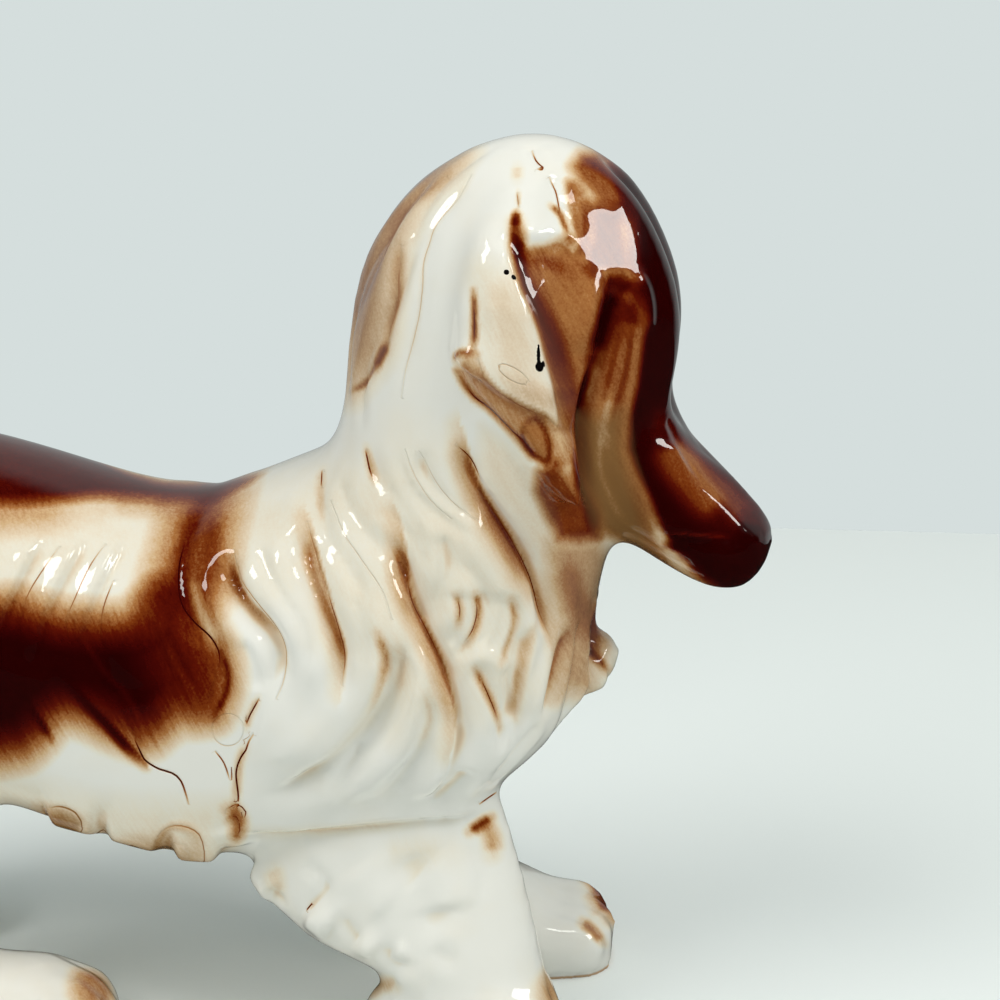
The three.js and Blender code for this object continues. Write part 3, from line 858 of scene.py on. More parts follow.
def line(radius, soft, path, right=None):
    """1 along a photo path and 0 beyond its radius; the right of the path may have a harder edge."""
    way = curve_through(path, 8)
    rows, spots = pixels_near(way, radius + soft)
    cover = np.zeros(len(base))
    far, along, piece = nearest(spots, way)
    strength = fade(radius + soft, radius - soft, far)
    if right:
        run = way[1:] - way[:-1]
        offset = spots - way[piece]
        on_right = run[piece, 1] * offset[:, 0] > run[piece, 0] * offset[:, 1]
        strength = np.where(on_right, fade(right, 0, far), strength)
    cover[rows] = strength * (BARE_ENDS + (1 - BARE_ENDS) * taper(along))
    return cover


def spray(amount, cover):
    """Adds a share of brown where the cover is."""
    global brown
    brown = 1 - (1 - brown) * (1 - amount * cover)


def wipe(amount, cover):
    """Takes a share of the brown away."""
    global brown
    brown = brown * (1 - amount * cover)


print("points to colour:", len(brown))

# %% [markdown]
# On the body the brown makes a saddle along the spine, a strap behind the shoulder and a dark patch on
# the flank. It was sprayed freely, so its edges are wide, and only where a lock overlaps it is there a
# hard edge.

# %% Brown on the body
SPINE = [(-320, 360), (-150, 385), (0, 425), (60, 450), (110, 465), (190, 470), (262, 448), (270, 462),
         (246, 480), (215, 496), (170, 499), (100, 496), (60, 499), (20, 502), (-80, 500), (-200, 480),
         (-320, 470)]
STRAP = [(190, 478), (246, 478), (240, 500), (232, 530), (229, 560), (226, 588), (214, 606), (196, 622),
         (150, 622), (144, 596), (152, 572), (163, 540), (172, 505)]
FLANK = [(-70, 640), (-40, 622), (0, 609), (20, 608), (40, 616), (60, 621), (90, 624), (125, 624),
         (145, 612), (160, 598), (182, 594), (194, 612), (204, 630), (216, 648), (222, 668), (222, 690),
         (213, 712), (196, 714), (180, 713), (165, 722), (150, 735), (140, 738), (125, 732), (110, 726),
         (90, 716), (75, 712), (60, 713), (48, 722), (38, 736), (25, 748), (0, 752), (-40, 746),
         (-75, 722)]
RUMP = [(-330, 380), (-150, 390), (-120, 430), (-130, 500), (-170, 560), (-215, 640), (-235, 760),
        (-330, 760)]
LOCK_OVER_FLANK = [(192, 575), (195, 592), (201, 612), (209, 630), (213, 645)]
spray(0.71, area(9, SPINE))
spray(0.26, line(20, 20, [(-110, 500), (-40, 508), (10, 510), (50, 506), (90, 500)]))
spray(0.22, line(10, 12, [(110, 502), (140, 504), (175, 506)]))
spray(0.45, area(22, STRAP))
spray(0.22, line(7, 8, [(214, 494), (198, 512), (187, 535), (182, 560), (183, 588)]))
spray(0.16, line(7, 8, [(216, 520), (215, 545), (214, 570), (211, 592)]))
spray(0.97, area(32, FLANK))
wipe(0.26, area(16, [(150, 612), (184, 604), (206, 640), (216, 680), (206, 704), (160, 700), (140, 660)]))
wipe(0.50, line(6, 6, LOCK_OVER_FLANK))
spray(0.50, line(2.5, 4, [(220, 652), (227, 672), (226, 692), (214, 718)]))
spray(0.85, area(20, RUMP))
spray(0.85, line(6, 6, [(64, 672), (84, 698), (108, 724), (130, 748), (146, 764)], 5))
spray(0.70, line(5, 6, [(22, 690), (36, 714), (52, 738)], 4))
wipe(0.20, line(2, 4, [(84, 640), (90, 652), (105, 675), (124, 693), (138, 715), (146, 742)]))
wipe(0.20, line(2, 4, [(168, 640), (174, 660), (187, 682), (199, 700)]))
spray(0.06, area(38, [(-60, 500), (170, 500), (300, 470), (420, 440), (540, 560), (540, 700), (400, 720),
                      (300, 600), (160, 590), (-60, 600)]))
# A faint brown darkens the lower belly
spray(0.07, area(16, [(-40, 768), (60, 790), (120, 800), (222, 800), (226, 850), (120, 850), (-40, 830)]))
print("share of brown skin on the body:", round(float((brown > 0.3).mean()), 2))

# %% [markdown]
# Brown that ran into the creases stayed there when the locks were wiped. A stain is a soft line along its
# crease, given as strength, radius, softness and path. The stains in the wide troughs have one hard side,
# where the lock that lies over them ends.

# %% Brown in the creases of the body
CREASE_STAINS = [
    (0.28, 2, 7, [(378, 634), (386, 655), (384, 682)]),
    (0.05, 4, 10, [(376, 705), (354, 736), (326, 763), (291, 790)]),
    (0.08, 3, 8, [(396, 640), (403, 668), (398, 700)]),
    (0.14, 2.5, 7, [(522, 546), (538, 576), (549, 612), (554, 655)]),
    (0.34, 2, 6, [(456, 594), (460, 610), (458, 628)]),
    (0.42, 2, 6, [(475, 594), (480, 608), (477, 626), (468, 646)]),
    (0.30, 2, 6, [(511, 598), (517, 618), (512, 640), (500, 664)]),
    (0.46, 2.5, 6, [(476, 670), (486, 690), (496, 712), (502, 730)]),
    (0.28, 2, 7, [(534, 626), (526, 655), (521, 690), (519, 722)]),
    (0.26, 2, 6, [(571, 628), (560, 654), (553, 688)]),
    (0.60, 3, 6, [(597, 608), (594, 640), (598, 660), (608, 670)]),
    (0.20, 12, 12, [(560, 560), (575, 600), (600, 640), (612, 660)]),
    (0.12, 2, 6, [(425, 690), (430, 720), (420, 748)]),
    (0.26, 3, 8, [(230, 552), (234, 582), (252, 611), (270, 628)]),
    (0.30, 2, 5, [(366, 446), (369, 466), (374, 482)]),
    (0.16, 2, 6, [(322, 468), (318, 490), (320, 512)]),
    (0.30, 2, 6, [(258, 697), (249, 717), (246, 729)]),
    (0.36, 2, 7, [(246, 745), (240, 760), (237, 785), (236, 806)]),
    (0.42, 6, 9, [(228, 812), (238, 824), (234, 840)]),
    # A faint line along the seam over the leg is painted shade under the body's overhang
    (0.09, 5, 9, [(250, 832), (300, 831), (360, 827), (420, 822)]),
    (0.34, 8, 10, [(40, 812), (62, 814), (86, 826)]),
    (0.20, 8, 12, [(100, 842), (140, 842), (180, 846), (215, 850)]),
    (0.16, 3, 4, ROSETTE),
    (0.26, 5, 8, [(228, 806), (238, 812), (244, 826)]),
    (0.60, 4, 6, [(470, 832), (482, 824), (492, 817)]),
    (0.30, 7, 10, [(486, 824), (492, 838), (493, 854)]),
    (0.06, 10, 18, [(384, 850), (420, 850), (446, 852)]),
    (0.13, 5, 8, [(275, 866), (281, 894)]),
    (0.25, 6, 8, [(364, 996), (382, 984), (396, 988)]),
]
for amount, radius, soft, path in CREASE_STAINS:
    spray(amount, line(radius, soft, path))
TROUGH_STAINS = [
    (0.27, 11, [(308, 518), (315, 552), (323, 580), (335, 625), (343, 659), (341, 690)]),
    (0.27, 12, [(396, 515), (402, 545), (405, 581), (413, 606), (428, 634), (443, 665), (450, 690),
                (457, 722), (452, 752)]),
    (0.31, 13, [(462, 428), (468, 462), (478, 488), (494, 512), (516, 543), (537, 584)]),
    (0.22, 18, [(488, 505), (506, 532), (524, 560), (540, 588)]),
    (0.14, 5, [(378, 631), (386, 659), (381, 687), (372, 711)]),
]
TROUGH_EDGE = 4  # px, the hard side of a stain
for amount, reach, path in TROUGH_STAINS:
    spray(amount, line(reach, reach, path, TROUGH_EDGE))
print("stains on the body:", len(CREASE_STAINS) + len(TROUGH_STAINS))

# %% [markdown]
# The face is the darkest place, a band from the brow down to the nose. Temple and ear are tan, the cheek
# is olive where the brown is thin, and the crown stays cream.

# %% Where the brown lies on the head
FACE = [(622, 152), (646, 172), (700, 235), (715, 330), (708, 400), (790, 495), (795, 570), (745, 604),
        (700, 580), (680, 564), (663, 541), (655, 520), (645, 495), (632, 470), (625, 448), (627, 415),
        (634, 384), (638, 352), (642, 318), (640, 300), (636, 285), (640, 278), (634, 262), (632, 238),
        (630, 220), (626, 204), (620, 186), (616, 166)]
ORANGE_BROW = [(570, 166), (580, 152), (602, 148), (622, 160), (634, 200), (632, 224), (612, 212),
               (598, 206), (588, 192), (578, 182)]
BROW_LOCK = [(566, 180), (574, 183), (583, 192), (590, 215), (590, 240), (584, 252), (577, 253),
             (573, 235), (571, 215), (568, 198)]
BROW_SHINE = [(588, 204), (622, 210), (634, 272), (590, 274), (580, 255), (590, 238)]
TEMPLE = [(514, 212), (521, 226), (530, 244), (545, 244), (560, 236), (572, 250), (582, 262), (600, 274),
          (612, 282), (606, 312), (598, 344), (587, 375), (579, 402), (577, 430), (577, 460), (582, 492),
          (572, 484), (566, 462), (562, 437), (557, 416), (553, 395), (549, 372), (544, 352), (540, 333),
          (533, 310), (524, 285), (518, 262), (513, 248), (511, 228)]
CHEEK = [(636, 302), (642, 318), (638, 352), (634, 384), (627, 415), (625, 451), (633, 473), (648, 502),
         (659, 533), (675, 563), (704, 590), (680, 590), (650, 570), (630, 548), (601, 530), (592, 515),
         (584, 490), (580, 460), (580, 430), (583, 404), (592, 376), (602, 345), (610, 318), (624, 302)]
BELOW_EAR = [(538, 470), (556, 462), (568, 478), (580, 495), (594, 518), (599, 537), (578, 541),
             (556, 537), (545, 515), (536, 490)]
EAR_BAND = [(472, 356), (487, 379), (501, 393), (524, 407), (542, 416), (556, 428), (566, 462),
            (560, 470), (547, 464), (531, 457), (514, 437), (501, 423), (487, 409), (473, 398),
            (462, 384), (455, 370)]
NAPE = [(470, 146), (440, 152), (400, 174), (366, 204), (346, 250), (338, 300), (334, 400), (352, 396),
        (370, 374), (384, 352), (394, 300), (400, 245), (420, 205), (452, 176)]
print("points of the face:", int((area(9, FACE) > 0.5).sum()))

# %% [markdown]
# The order of the layers matters, as it does at the bench. Broad spray comes first, then the cheek is wiped
# nearly clean and sprayed thinly, and the dark lines round it come afterwards, as pooled brown and painted
# shade.

# %% Brown on the head
spray(0.97, area(9, FACE))
spray(0.46, area(9, ORANGE_BROW))
spray(0.30, line(4, 5, [(584, 158), (604, 172), (620, 192), (628, 215)]))
spray(0.46, area(5, BROW_LOCK))
spray(0.30, line(2.5, 4, [(568, 186), (572, 210), (577, 240)]))
spray(0.60, area(9, BROW_SHINE))
spray(0.40, area(5, TEMPLE))
wipe(0.60, area(14, [(518, 200), (572, 200), (572, 232), (556, 244), (532, 244)]))
spray(0.46, line(8, 8, [(516, 222), (519, 250), (528, 280), (541, 308), (552, 335), (560, 362),
                        (567, 392)]))
spray(0.20, line(9, 10, [(566, 385), (569, 410), (569, 440)]))
spray(0.18, line(7, 8, [(535, 256), (552, 262), (568, 272)]))
wipe(0.92, area(8, CHEEK))
spray(0.45, area(7, CHEEK))
spray(0.35, line(3, 4, [(588, 400), (586, 440), (592, 480), (602, 508)]))
spray(0.25, line(4, 5, [(612, 470), (622, 495), (640, 522)]))
spray(0.22, line(2, 3, [(622, 326), (613, 362), (605, 396), (600, 420)]))
spray(0.22, line(2, 3, [(632, 330), (626, 372), (615, 408), (610, 430)]))
wipe(0.30, line(3, 4, [(600, 428), (600, 466), (612, 502), (628, 526)]))
wipe(0.35, line(7, 7, [(608, 395), (604, 425), (608, 455)]))
# Dark brown in the socket under the brow and along the cheek fold: pooled brown and painted shade
spray(0.92, line(10, 9, [(620, 288), (609, 306), (602, 330), (594, 356)]))
spray(0.92, line(5, 5, [(592, 360), (581, 400), (577, 430), (578, 462), (583, 491), (594, 518)]))
spray(0.60, line(8, 8, [(606, 284), (620, 282), (634, 290)]))
spray(0.40, line(13, 12, [(640, 284), (632, 304), (626, 328)]))
wipe(0.50, line(18, 16, [(664, 436), (678, 464), (700, 494), (726, 518)]))
# Lighter brown on the muzzle's top plane, partly painted sheen
wipe(0.34, area(8, MUZZLE_TOP))
wipe(0.12, line(8, 9, [(658, 405), (660, 430)]))
wipe(0.55, line(7, 7, [(655, 524), (668, 550), (694, 574)]))
# A lighter line on the upper lip is a painted highlight, and the dark line under it is dark paint with
# painted shade of the mouth's gap
wipe(0.40, line(1.5, 3, [(667, 531), (685, 533), (712, 536), (730, 537)]))
spray(0.90, line(4, 4, [(667, 545), (690, 547), (714, 549)]))
spray(0.95, line(12, 8, [(752, 520), (748, 545), (744, 560)]))
spray(0.52, area(7, BELOW_EAR))
spray(0.45, line(6, 6, [(582, 490), (591, 512), (597, 535)]))
spray(0.32, area(5, EAR_BAND))
spray(0.10, area(5, [(524, 425), (521, 441), (531, 455), (547, 462), (550, 446), (544, 428), (535, 418)]))
spray(0.26, area(22, NAPE))
# Brown thickens towards the nape's outline
spray(0.22, line(14, 14, [(452, 152), (404, 176), (368, 212), (352, 262), (347, 320)]))
EAR_MIDDLE = [(480, 270), (525, 280), (545, 350), (556, 400), (530, 405), (490, 380), (478, 340)]
spray(0.11, area(24, EAR_MIDDLE))
UNDER_EAR = [(482, 426), (512, 446), (540, 476), (552, 520), (562, 566), (540, 556), (516, 524),
             (496, 494), (480, 458)]
spray(0.09, area(10, UNDER_EAR))
print("share of brown skin:", round(float((brown > 0.3).mean()), 2))

# %% [markdown]
# The creases of ear, nape and fringe hold brown in the same way as those of the body.

# %% Brown in the creases of the head
HEAD_STAINS = [
    (0.30, 2.5, 4, [(478, 357), (487, 379), (501, 393), (524, 407), (542, 416), (556, 428)]),
    (0.40, 2.5, 4, [(455, 370), (462, 384), (473, 398), (487, 409), (501, 423), (515, 437), (531, 457),
                    (547, 465)]),
    (0.34, 2.5, 3, [(524, 425), (521, 441), (531, 455), (547, 462), (550, 446), (544, 428), (535, 418),
                    (524, 425)]),
    (0.48, 3, 4, [(472, 290), (473, 326), (475, 350)]),
    (0.45, 3, 4, [(456, 360), (464, 352), (478, 354)]),
    (0.16, 4, 5, [(448, 175), (427, 191), (402, 212), (393, 228), (384, 249), (376, 272), (363, 299),
                  (354, 311)]),
    (0.18, 4, 5, [(401, 244), (397, 269), (394, 299), (389, 322), (384, 350)]),
    (0.50, 4, 4, [(385, 345), (376, 368)]),
    (0.06, 2, 4, [(472, 174), (457, 198), (436, 223), (428, 244), (422, 270), (418, 315), (405, 370)]),
    (0.50, 3, 4, [(551, 205), (561, 215), (566, 238)]),
    (0.35, 4, 5, [(566, 236), (572, 246)]),
    (0.55, 4, 4, [(517, 212), (515, 226)]),
    (0.25, 1.5, 2.5, [(518, 190), (519, 206)]),
    (0.12, 5, 5, [(517, 166), (517, 180)]),
    (0.35, 2, 3, [(352, 392), (366, 378), (376, 364)]),
]
for amount, radius, soft, path in HEAD_STAINS:
    spray(amount, line(radius, soft, path))
print("stains on the head:", len(HEAD_STAINS))

# %% [markdown]
# Thin brown isn't the same everywhere. Over the nape and the breast it turns to a greyish taupe, on the
# cheek and under the belly to olive. Two more layers say how much of each there is.

# %% Taupe and olive
BREAST = [(548, 541), (598, 541), (612, 560), (600, 640), (590, 690), (556, 700), (556, 600)]
BREAST_TAN = [(552, 541), (604, 535), (612, 560), (600, 640), (590, 690), (556, 700), (556, 600)]
LOWER_CHEEK = [(584, 420), (622, 412), (625, 451), (640, 500), (652, 540), (668, 570), (650, 575),
               (600, 530), (586, 490)]
EAR_TIP = [(505, 376), (530, 384), (553, 396), (562, 430), (540, 412), (510, 396)]
BELLY_EDGE = [(36, 812), (80, 824), (140, 846), (200, 852)]
for share, soft, polygon in ((0.8, 22, NAPE), (0.5, 24, EAR_MIDDLE), (0.3, 10, UNDER_EAR),
                             (0.35, 10, BREAST)):
    taupe = np.maximum(taupe, share * area(soft, polygon))
for share, soft, polygon in ((0.90, 12, LOWER_CHEEK), (0.6, 8, EAR_TIP)):
    olive = np.maximum(olive, share * area(soft, polygon))
olive = np.maximum(olive, 0.8 * line(22, 14, BELLY_EDGE))
spray(0.10, area(8, EAR_TIP))
spray(0.27, area(14, BREAST_TAN))
LOWER_CHEST = [(352, 640), (415, 640), (442, 740), (430, 815), (250, 815), (300, 740)]
lower_chest_damping = area(14, LOWER_CHEST)
print("share of taupe and olive:", [round(float((layer > 0.3).mean()), 3) for layer in (taupe, olive)])

# %% [markdown]
# The toes are brown at their tips. The photo shows the far forepaw from its inner side, so from here on a
# pixel is looked up on the dog as it stands, and not on the folded one.

# %% Brown on the paws
across, down = photo_px(base)
far_toes = near_leg["front_left_leg"] * fade(40, 30, height)
spray(0.50, line(9, 9, [(574, 864), (592, 874), (607, 893), (618, 916)]) * far_toes)
spray(0.30, line(14, 12, [(598, 885), (612, 910)]) * far_toes)
spray(0.40, line(4, 5, [(582, 920), (595, 930), (605, 943)]) * far_toes)

# The other paws have brown toes too
TOE_TOP = 18  # mm
TOE_BACK = 6  # mm behind the tip
for node in ("front_right_leg", "hind_right_leg", "hind_left_leg"):
    tip, middle = PAW_TIPS[node]
    flat_far = np.hypot(forward - tip + TOE_BACK, (sideways - middle) * 0.6)
    spray(0.35, fade(11, 3, np.hypot(flat_far, (height - TOE_TOP) * 0.8)))
print("share of the skin under brown:", round(float((brown > 0.3).mean()), 2))

# %% [markdown]
# Brown gathers where the skin is hollow, and the hollows are also darkened as painted shade. A point is
# hollow if it lies deeper than the skin around it, so the relief is compared with a much smoother copy of
# itself. The lower chest gets less of both.

# %% Hollows
HOLLOW_ROUNDS = 80
LOWER_CHEST_DAMPING = 0.6
hollow = (evened(relief, HOLLOW_ROUNDS) - relief) * (1 - LOWER_CHEST_DAMPING * lower_chest_damping)
print("deepest hollow in mm:", round(float(hollow.max()), 2))

# %% [markdown]
# Fine cracks and pencil-thin crease lines are narrower than the mesh. For those each point keeps its signed
# distance to the nearest line, and the shader draws the line where that distance passes through zero.

# %% Hairlines
HAIR_REACH = 11  # px on each side of a line
HAIR_SURE = 4.5  # px within which the line may be drawn
FAR_AWAY = 9.0  # line widths, for points beside no line
EDGE_ON = 0.03  # skin that is seen more edge-on than this gets no line
PAST_MIDDLE = 2  # mm past the dog's middle up to which lines are drawn
FAINT_ENDS = 0.2  # the share of a line's tone that its ends keep
RING_MARK = [(228 + 16 * math.cos(a), 730 + 16 * math.sin(a)) for a in np.linspace(0, 2 * math.pi, 17)]
GLAZE_RING = [(513 + 14 * math.cos(a) - 3 * math.sin(a), 374 + 9 * math.cos(a) + 5 * math.sin(a))
              for a in np.linspace(0, 2 * math.pi, 17)]
# Half the line's width in px, its tone, and its path
HAIRLINES = [
    (1.0, 0.80, [(128, 725), (141, 753), (146, 761), (159, 769), (172, 773), (181, 781), (187, 798),
                 (189, 806)]),
    (0.7, 0.40, [(60, 546), (44, 568), (28, 594), (19, 622), (22, 640)]),
    (0.7, 0.40, [(106, 544), (90, 566), (76, 596), (66, 622), (68, 640)]),
    (0.7, 0.45, [(114, 578), (104, 604), (99, 632), (104, 650)]),
    (1.1, 0.85, [(204, 510), (186, 536), (178, 568), (180, 600), (192, 620), (210, 638), (218, 656),
                 (216, 678), (208, 702)]),
    (0.7, 0.30, [(232, 548), (240, 578), (258, 604), (275, 628), (283, 650), (283, 680), (276, 700)]),
    # Three faint lines along creases in the cream are painted shade that brings out the relief
    (0.5, 0.12, [(418, 450), (430, 474), (446, 496), (464, 512), (484, 524)]),
    (0.5, 0.12, [(404, 448), (415, 476), (432, 502), (452, 520)]),
    (0.5, 0.12, [(330, 500), (345, 535), (362, 560), (382, 590), (392, 620)]),
    (0.5, 0.16, RING_MARK),
    (0.5, 0.20, GLAZE_RING),
    (0.8, 0.50, [(214, 750), (224, 763), (230, 781)]),
    (0.9, 0.70, [(260, 697), (249, 717), (246, 727)]),
    (1.0, 0.75, [(255, 732), (249, 741), (246, 750), (241, 757), (236, 773), (238, 802), (226, 814)]),
    (0.6, 0.36, [(160, 854), (156, 840), (164, 828), (182, 823), (200, 831), (205, 848), (193, 859),
                 (176, 857), (169, 846), (176, 837), (188, 838), (192, 847)]),
    (0.7, 0.36, [(40, 808), (58, 802), (78, 808), (86, 820), (74, 828), (50, 822)]),
    (0.6, 0.45, [(90, 834), (104, 829), (118, 838)]),
    (0.6, 0.45, [(122, 842), (134, 836), (148, 844)]),
    (0.7, 0.60, [(224, 812), (236, 804), (246, 812), (242, 822)]),
    (0.7, 0.55, [(226, 820), (236, 816), (240, 828), (234, 836)]),
    (0.8, 0.40, [(448, 175), (427, 191), (402, 212), (393, 228), (384, 249), (376, 272), (363, 299),
                 (354, 311)]),
    (0.8, 0.36, [(401, 244), (397, 269), (394, 299), (389, 322), (384, 350), (376, 368)]),
    (0.6, 0.18, [(472, 174), (457, 198), (436, 223), (428, 244), (423, 262), (422, 285), (418, 315),
                 (411, 345), (405, 370), (401, 400)]),
    (0.9, 0.55, [(532, 149), (536, 159), (543, 167), (541, 170), (536, 168)]),
    (0.8, 0.45, [(549, 175), (556, 189), (560, 209), (564, 228)]),
    (0.7, 0.35, [(517, 191), (519, 207)]),
    (0.9, 0.66, [(455, 370), (462, 384), (473, 398), (487, 409), (501, 423), (515, 437), (531, 457),
                 (547, 464)]),
    (0.7, 0.50, [(478, 357), (487, 379), (501, 393), (524, 407), (542, 416), (556, 428)]),
    (0.7, 0.56, [(524, 425), (521, 441), (531, 455), (546, 461), (550, 446), (544, 428), (535, 419)]),
    (1.0, 0.65, [(472, 300), (473, 326), (475, 350)]),
    (0.8, 0.60, [(455, 444), (463, 452), (472, 464), (480, 482)]),
    (0.8, 0.60, [(365, 448), (368, 468), (373, 482)]),
    (0.7, 0.50, [(322, 469), (319, 486)]),
    (0.8, 0.60, [(312, 903), (306, 911)]),
    (0.8, 0.55, [(477, 804), (490, 796), (497, 792)]),
    (0.7, 0.35, [(306, 520), (314, 552), (321, 574)]),
    (0.8, 0.52, [(323, 580), (335, 625), (343, 659), (341, 690)]),
    (0.8, 0.55, [(396, 561), (405, 582), (413, 606), (428, 634), (443, 665), (450, 690)]),
    (0.8, 0.60, [(478, 488), (494, 512), (516, 543), (537, 580), (548, 616), (554, 654)]),
    (0.6, 0.50, [(457, 598), (460, 610), (459, 622)]),
    (0.7, 0.55, [(475, 596), (478, 610), (475, 626), (466, 644)]),
    (0.7, 0.62, [(480, 676), (490, 698), (500, 724)]),
]
print("hairlines:", len(HAIRLINES))

# %% Distance to the hairlines
seen = (sideways < PAST_MIDDLE) & (outward @ to_eye > EDGE_ON)
hair = np.full(len(base), FAR_AWAY)
hair_on = np.zeros(len(base))
hair_tone = np.zeros(len(base))
gap_px = np.full(len(base), float(HAIR_REACH))
for half, tone, path in HAIRLINES:
    way = curve_through(path, 5)
    rows, spots = pixels_near(way, HAIR_REACH)
    spots = spots[seen[rows]]
    rows = rows[seen[rows]]
    far, along, piece = nearest(spots, way)
    run = way[1:] - way[:-1]
    offset = spots - way[piece]
    side = np.sign(run[piece, 0] * offset[:, 1] - run[piece, 1] * offset[:, 0])
    closest = (far < gap_px[rows]) & (along > 0) & (along < 1)
    rows = rows[closest]
    gap_px[rows] = far[closest]
    hair[rows] = far[closest] * side[closest] / half
    hair_on[rows] = far[closest] < HAIR_SURE
    hair_tone[rows] = tone * (FAINT_ENDS + (1 - FAINT_ENDS) * taper(along[closest], 0.3, 0.35))
print("points beside a hairline:", int(hair_on.sum()))

# %% [markdown]
# The moved points go into the mesh, and each layer becomes an attribute that a material can read. An
# attribute stays with its points when the skin is cut later, which a pattern in space would not.

# %% Handing shape and colour to the mesh
LAYERS = {
    "brown": brown,
    "taupe": taupe,
    "olive": olive,
    "hollow": hollow,
    "hair": hair,
    "hair_on": hair_on,
    "hair_tone": hair_tone,
}


def store(thing, name, values):
    layer = thing.data.attributes.new(name, "FLOAT", "POINT")
    layer.data.foreach_set("value", values.astype(np.float32))


move_to(skin, shape)
for name, values in LAYERS.items():
    store(skin, name, values)
print("attributes:", list(LAYERS))

# %% [markdown]
# A few chips in the glaze show a dark body. They are small, so the material draws each one as a ball
# round a place on the skin, and here a ray finds those places.

# %% Glaze chips
CHIPS = [(506.5, 272.2, 2.6), (513.8, 277.3, 2.6), (538.6, 346, 1.5), (538.6, 349, 1.9), (538.6, 352, 2.3),
         (538.6, 355.5, 2.3), (538.6, 359, 2.0), (539, 362.5, 2.3), (539.7, 366.8, 4.6),
         (543.5, 364, 2.8)]  # photo px: middle and radius
PX_PER_MM = 3.4
chips = []
bpy.context.view_layer.update()
for chip_across, chip_down, radius in CHIPS:
    start, sight = from_photo(chip_across, chip_down)
    found, place, _, _ = skin.ray_cast(Vector(start * MM), Vector(sight))
    if found:
        chips.append((place.copy(), radius / PX_PER_MM * MM))
print("glaze chips:", len(chips))

# %% [markdown]
# The dog is earthenware under a clear, glossy glaze: a matt, clouded body, and sharp reflections on top
# of it. A material is a small network of nodes. One function adds a node with its settings and links, and
# one turns a colour as we see it into the linear light that Blender mixes.

# %% Colours and nodes


def linear(colour):
    """A #rrggbb colour as linear RGBA."""
    parts = [int(colour[i:i + 2], 16) / 255 for i in (1, 3, 5)]
    parts = [p / 12.92 if p <= 0.04045 else ((p + 0.055) / 1.055) ** 2.4 for p in parts]
    return (*parts, 1)


def add(tree, kind, inputs=None, give=0, **settings):
    """Adds a node, sets it, links or fills its inputs, and gives back one of its outputs."""
    node = tree.nodes.new(kind)
    for name, value in settings.items():
        setattr(node, name, value)
    for socket, value in (inputs or {}).items():
        if isinstance(value, bpy.types.NodeSocket):
            tree.links.new(value, node.inputs[socket])
        else:
            node.inputs[socket].default_value = value
    return node.outputs[give] if node.outputs else node


def new_material(name):
    """An empty material and its tree of nodes."""
    material = bpy.data.materials.new(name)
    material.use_nodes = True
    material.node_tree.nodes.clear()
    return material, material.node_tree


print("cream in linear light:", [round(part, 2) for part in linear("#e8e6df")])

# %% [markdown]
# Where brown is thin it goes from cream through tan and orange to red, and where it pools it is nearly
# black. A ramp holds these steps. Spray leaves drops, the brush leaves hair-fine streaks that run down
# and forward, and the dip leaves faint clouds and waves. Each of these patterns is a noise that is scaled
# from its real size in millimetres.

# %% Steps of brown and sizes of patterns
BROWN_STEPS = [
    (0.00, "#e8e6df"), (0.06, "#e7dfce"), (0.12, "#e1ceb4"), (0.25, "#cca87e"), (0.37, "#a8703f"),
    (0.50, "#7c3812"), (0.62, "#5a1306"), (0.75, "#420704"), (0.88, "#300303"), (1.00, "#240202"),
]
TAUPE = "#8f7466"
OLIVE = "#7f5c35"
CHIP = "#0d0b0b"  # dirt in a chip
BARE_CLAY = "#c9a98a"  # the soles are wiped free of glaze
STROKE_TILT = math.radians(28)
# Size in mm along x, y and z, tilt, detail and roughness of each noise. Drops are drawn coarser than real
# spray, which would be too fine to show.
PATTERNS = {
    "drops": ((0.7, 0.7, 0.7), 0, 2.0, 0.6),
    "streaks": ((1.0, 2, 12), STROKE_TILT, 3.0, 0.6),
    "clouds": ((16, 16, 16), 0, 2.0, 0.5),
    "waves": ((8, 8, 8), 0, 1.0, 0.4),
}
DROPS = 0.32  # how far drops change the thickness of brown either way
CLOUDS = 0.035
# Hollows deeper than these get brown, which stands for pooled brown and painted shade together
HOLLOW_FROM = 0.4  # mm
HOLLOW_TO = 2.2  # mm
HOLLOW_BROWN_AND_SHADE = 0.15
TINT_FROM = 0.02  # thickness of brown from which a tint shows
TINT_TO = 0.45
LINE_SOFT = (1.3, 0.5)  # half widths between which a hairline fades in
NOTCH_SOFT = (2.6, 0.2)
SOLE_EDGE = (1.2, 0.7)  # mm, the height at which the glaze ends
WAVE_HEIGHT = 0.3  # mm
print("steps of brown:", len(BROWN_STEPS), "patterns:", len(PATTERNS))
